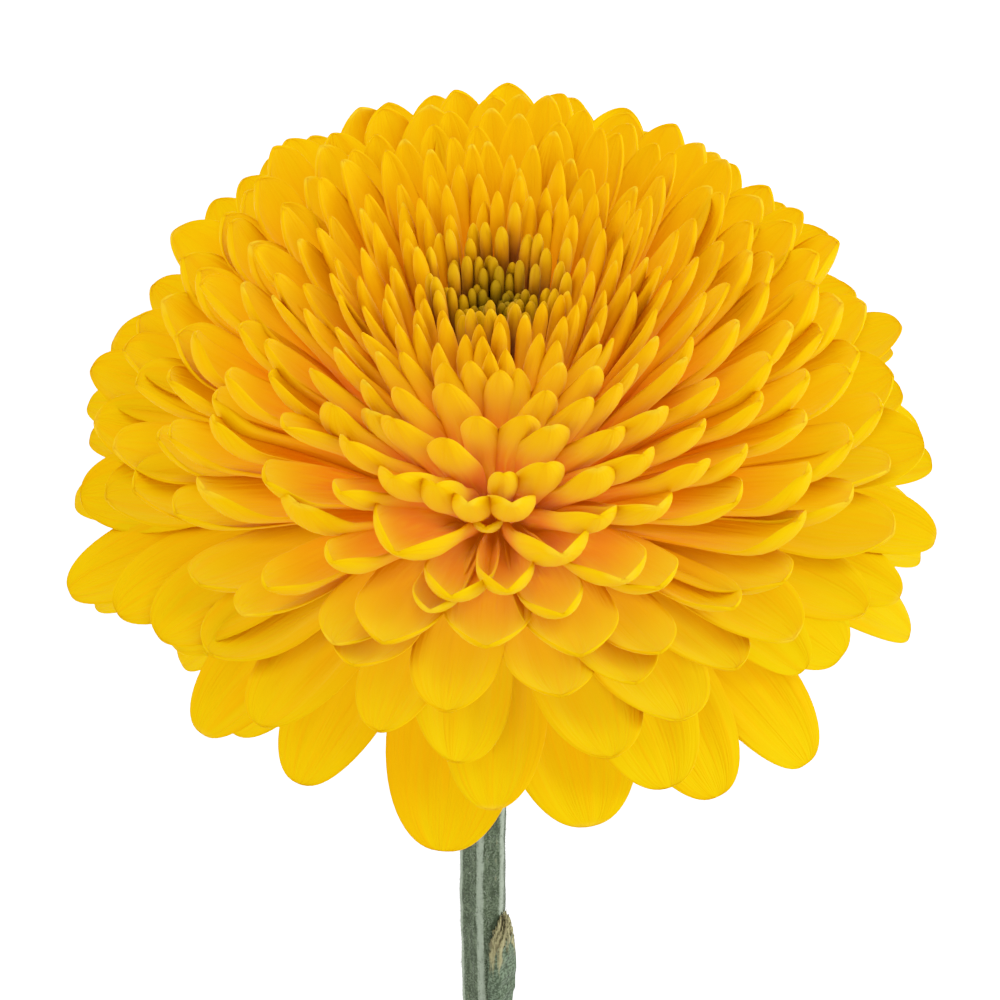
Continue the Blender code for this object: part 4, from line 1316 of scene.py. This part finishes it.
@dataclass(frozen=True)
class Studio:
    """The pale surface, the soft lights and the camera, in metres.

    Each light has its place, its size and its power in watts. The lens has a field of 63.5 mm to
    either side at 650 mm. The shifts put the bloom where it is in the picture.
    """

    lying: Lying
    half_floor: float = 2.0
    ambient: float = 0.915
    fill: float = 2.6
    fill_reach: float = 0.0027
    lights: tuple[tuple[tuple[float, float, float], float, float], ...] = (
        ((-0.37, -0.87, 0.49), 0.6, 3.4), ((-0.85, -0.25, 0.25), 0.4, 12.0),
        ((0.85, -0.25, 0.25), 0.4, 4.0))
    shoulder: float = 1.0
    full_white: float = 2.0
    curve_at: Table = (0.04, 0.10, 0.18, 0.28, 0.40, 0.54, 0.72)
    distance: float = 0.65
    view_elevation: float = 45.0
    lens: float = 18.0 / (63.5 / 650.0)
    shift_right: float = 3.0 * 0.000127
    shift_down: float = 10.0 * 0.000127

    def floor(self) -> None:
        """Lay the surface, a sheet of four corners at height nought."""
        half = self.half_floor
        sheet = [(-half, -half, 0.0), (half, -half, 0.0), (half, half, 0.0), (-half, half, 0.0)]
        mesh = bpy.data.meshes.new("surface")
        mesh.from_pydata(sheet, [], [(0, 1, 2, 3)])
        mesh.materials.append(TableFinish().make())
        made = hang("surface", mesh)

    def light(self) -> None:
        """Hang the soft lights and turn up the room's even light, which fills the gaps too."""
        world = bpy.data.worlds.new("room")
        world.use_nodes = True
        room = world.node_tree.nodes["Background"].inputs
        room["Color"].default_value = (1.0, 1.0, 1.0, 1.0)
        room["Strength"].default_value = self.ambient
        world.light_settings.ao_factor = self.fill
        world.light_settings.distance = self.fill_reach
        bpy.context.scene.world = world
        for number, (place, size, power) in enumerate(self.lights):
            lamp = bpy.data.lights.new(f"softbox_{number}", "AREA")
            lamp.size = size
            lamp.energy = power
            made = hang(lamp.name, lamp)
            made.location = place
            made.rotation_mode = "QUATERNION"
            made.rotation_quaternion = (-Vector(place)).to_track_quat("-Z", "Y")

    def camera(self) -> None:
        """Put the camera where the photograph was taken, in front of the bloom and above it."""
        raised = math.radians(self.view_elevation)
        axes = self.lying.axes()
        back = axes @ np.array([0.0, -math.cos(raised), math.sin(raised)])
        up = axes @ np.array([0.0, math.sin(raised), math.cos(raised)])
        right = axes @ np.array([1.0, 0.0, 0.0])
        place = np.array(self.lying.receptacle) * MM + back * self.distance
        made = hang("camera", bpy.data.cameras.new("camera"))
        made.data.sensor_width = 36.0
        made.data.lens = self.lens
        made.location = place + right * self.shift_right - up * self.shift_down
        made.rotation_mode = "QUATERNION"
        made.rotation_quaternion = Matrix([right, up, back]).transposed().to_quaternion()
        bpy.context.scene.camera = made

    def film(self) -> None:
        """Bend the camera's answer to light as film does, so bright petals keep their shading.

        The answer to light x is (1 - e^(-kx)) / (1 - e^(-kw)), with shoulder k, up to white w.
        """
        view = bpy.context.scene.view_settings
        view.view_transform = "Standard"
        view.use_curve_mapping = True
        mapping = view.curve_mapping
        mapping.white_level = (self.full_white,) * 3
        bend = self.shoulder * self.full_white
        for share in self.curve_at:
            mapping.curves[3].points.new(share, math.expm1(-bend * share) / math.expm1(-bend))
        mapping.update()

    def build(self) -> None:
        """Set the stage."""
        for step in (self.floor, self.light, self.camera, self.film):
            step()
        cycles = bpy.context.scene.cycles
        cycles.use_fast_gi = True
        cycles.fast_gi_method = "REPLACE"
        cycles.ao_bounces_render = 1
        LOG.info("stage: surface, room light, %d softboxes and camera", len(self.lights))


def main() -> None:
    """Dress the part, piece by piece, and set the stage."""
    logging.basicConfig(level=logging.INFO, format="%(name)s %(message)s")
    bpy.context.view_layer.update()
    lying = Lying()
    plan = BloomPlan(lying)
    for assembly in (Bloom(plan), Involucre(plan), Stem(lying), Studio(lying)):
        assembly.build()


if __name__ == "__main__":
    main()
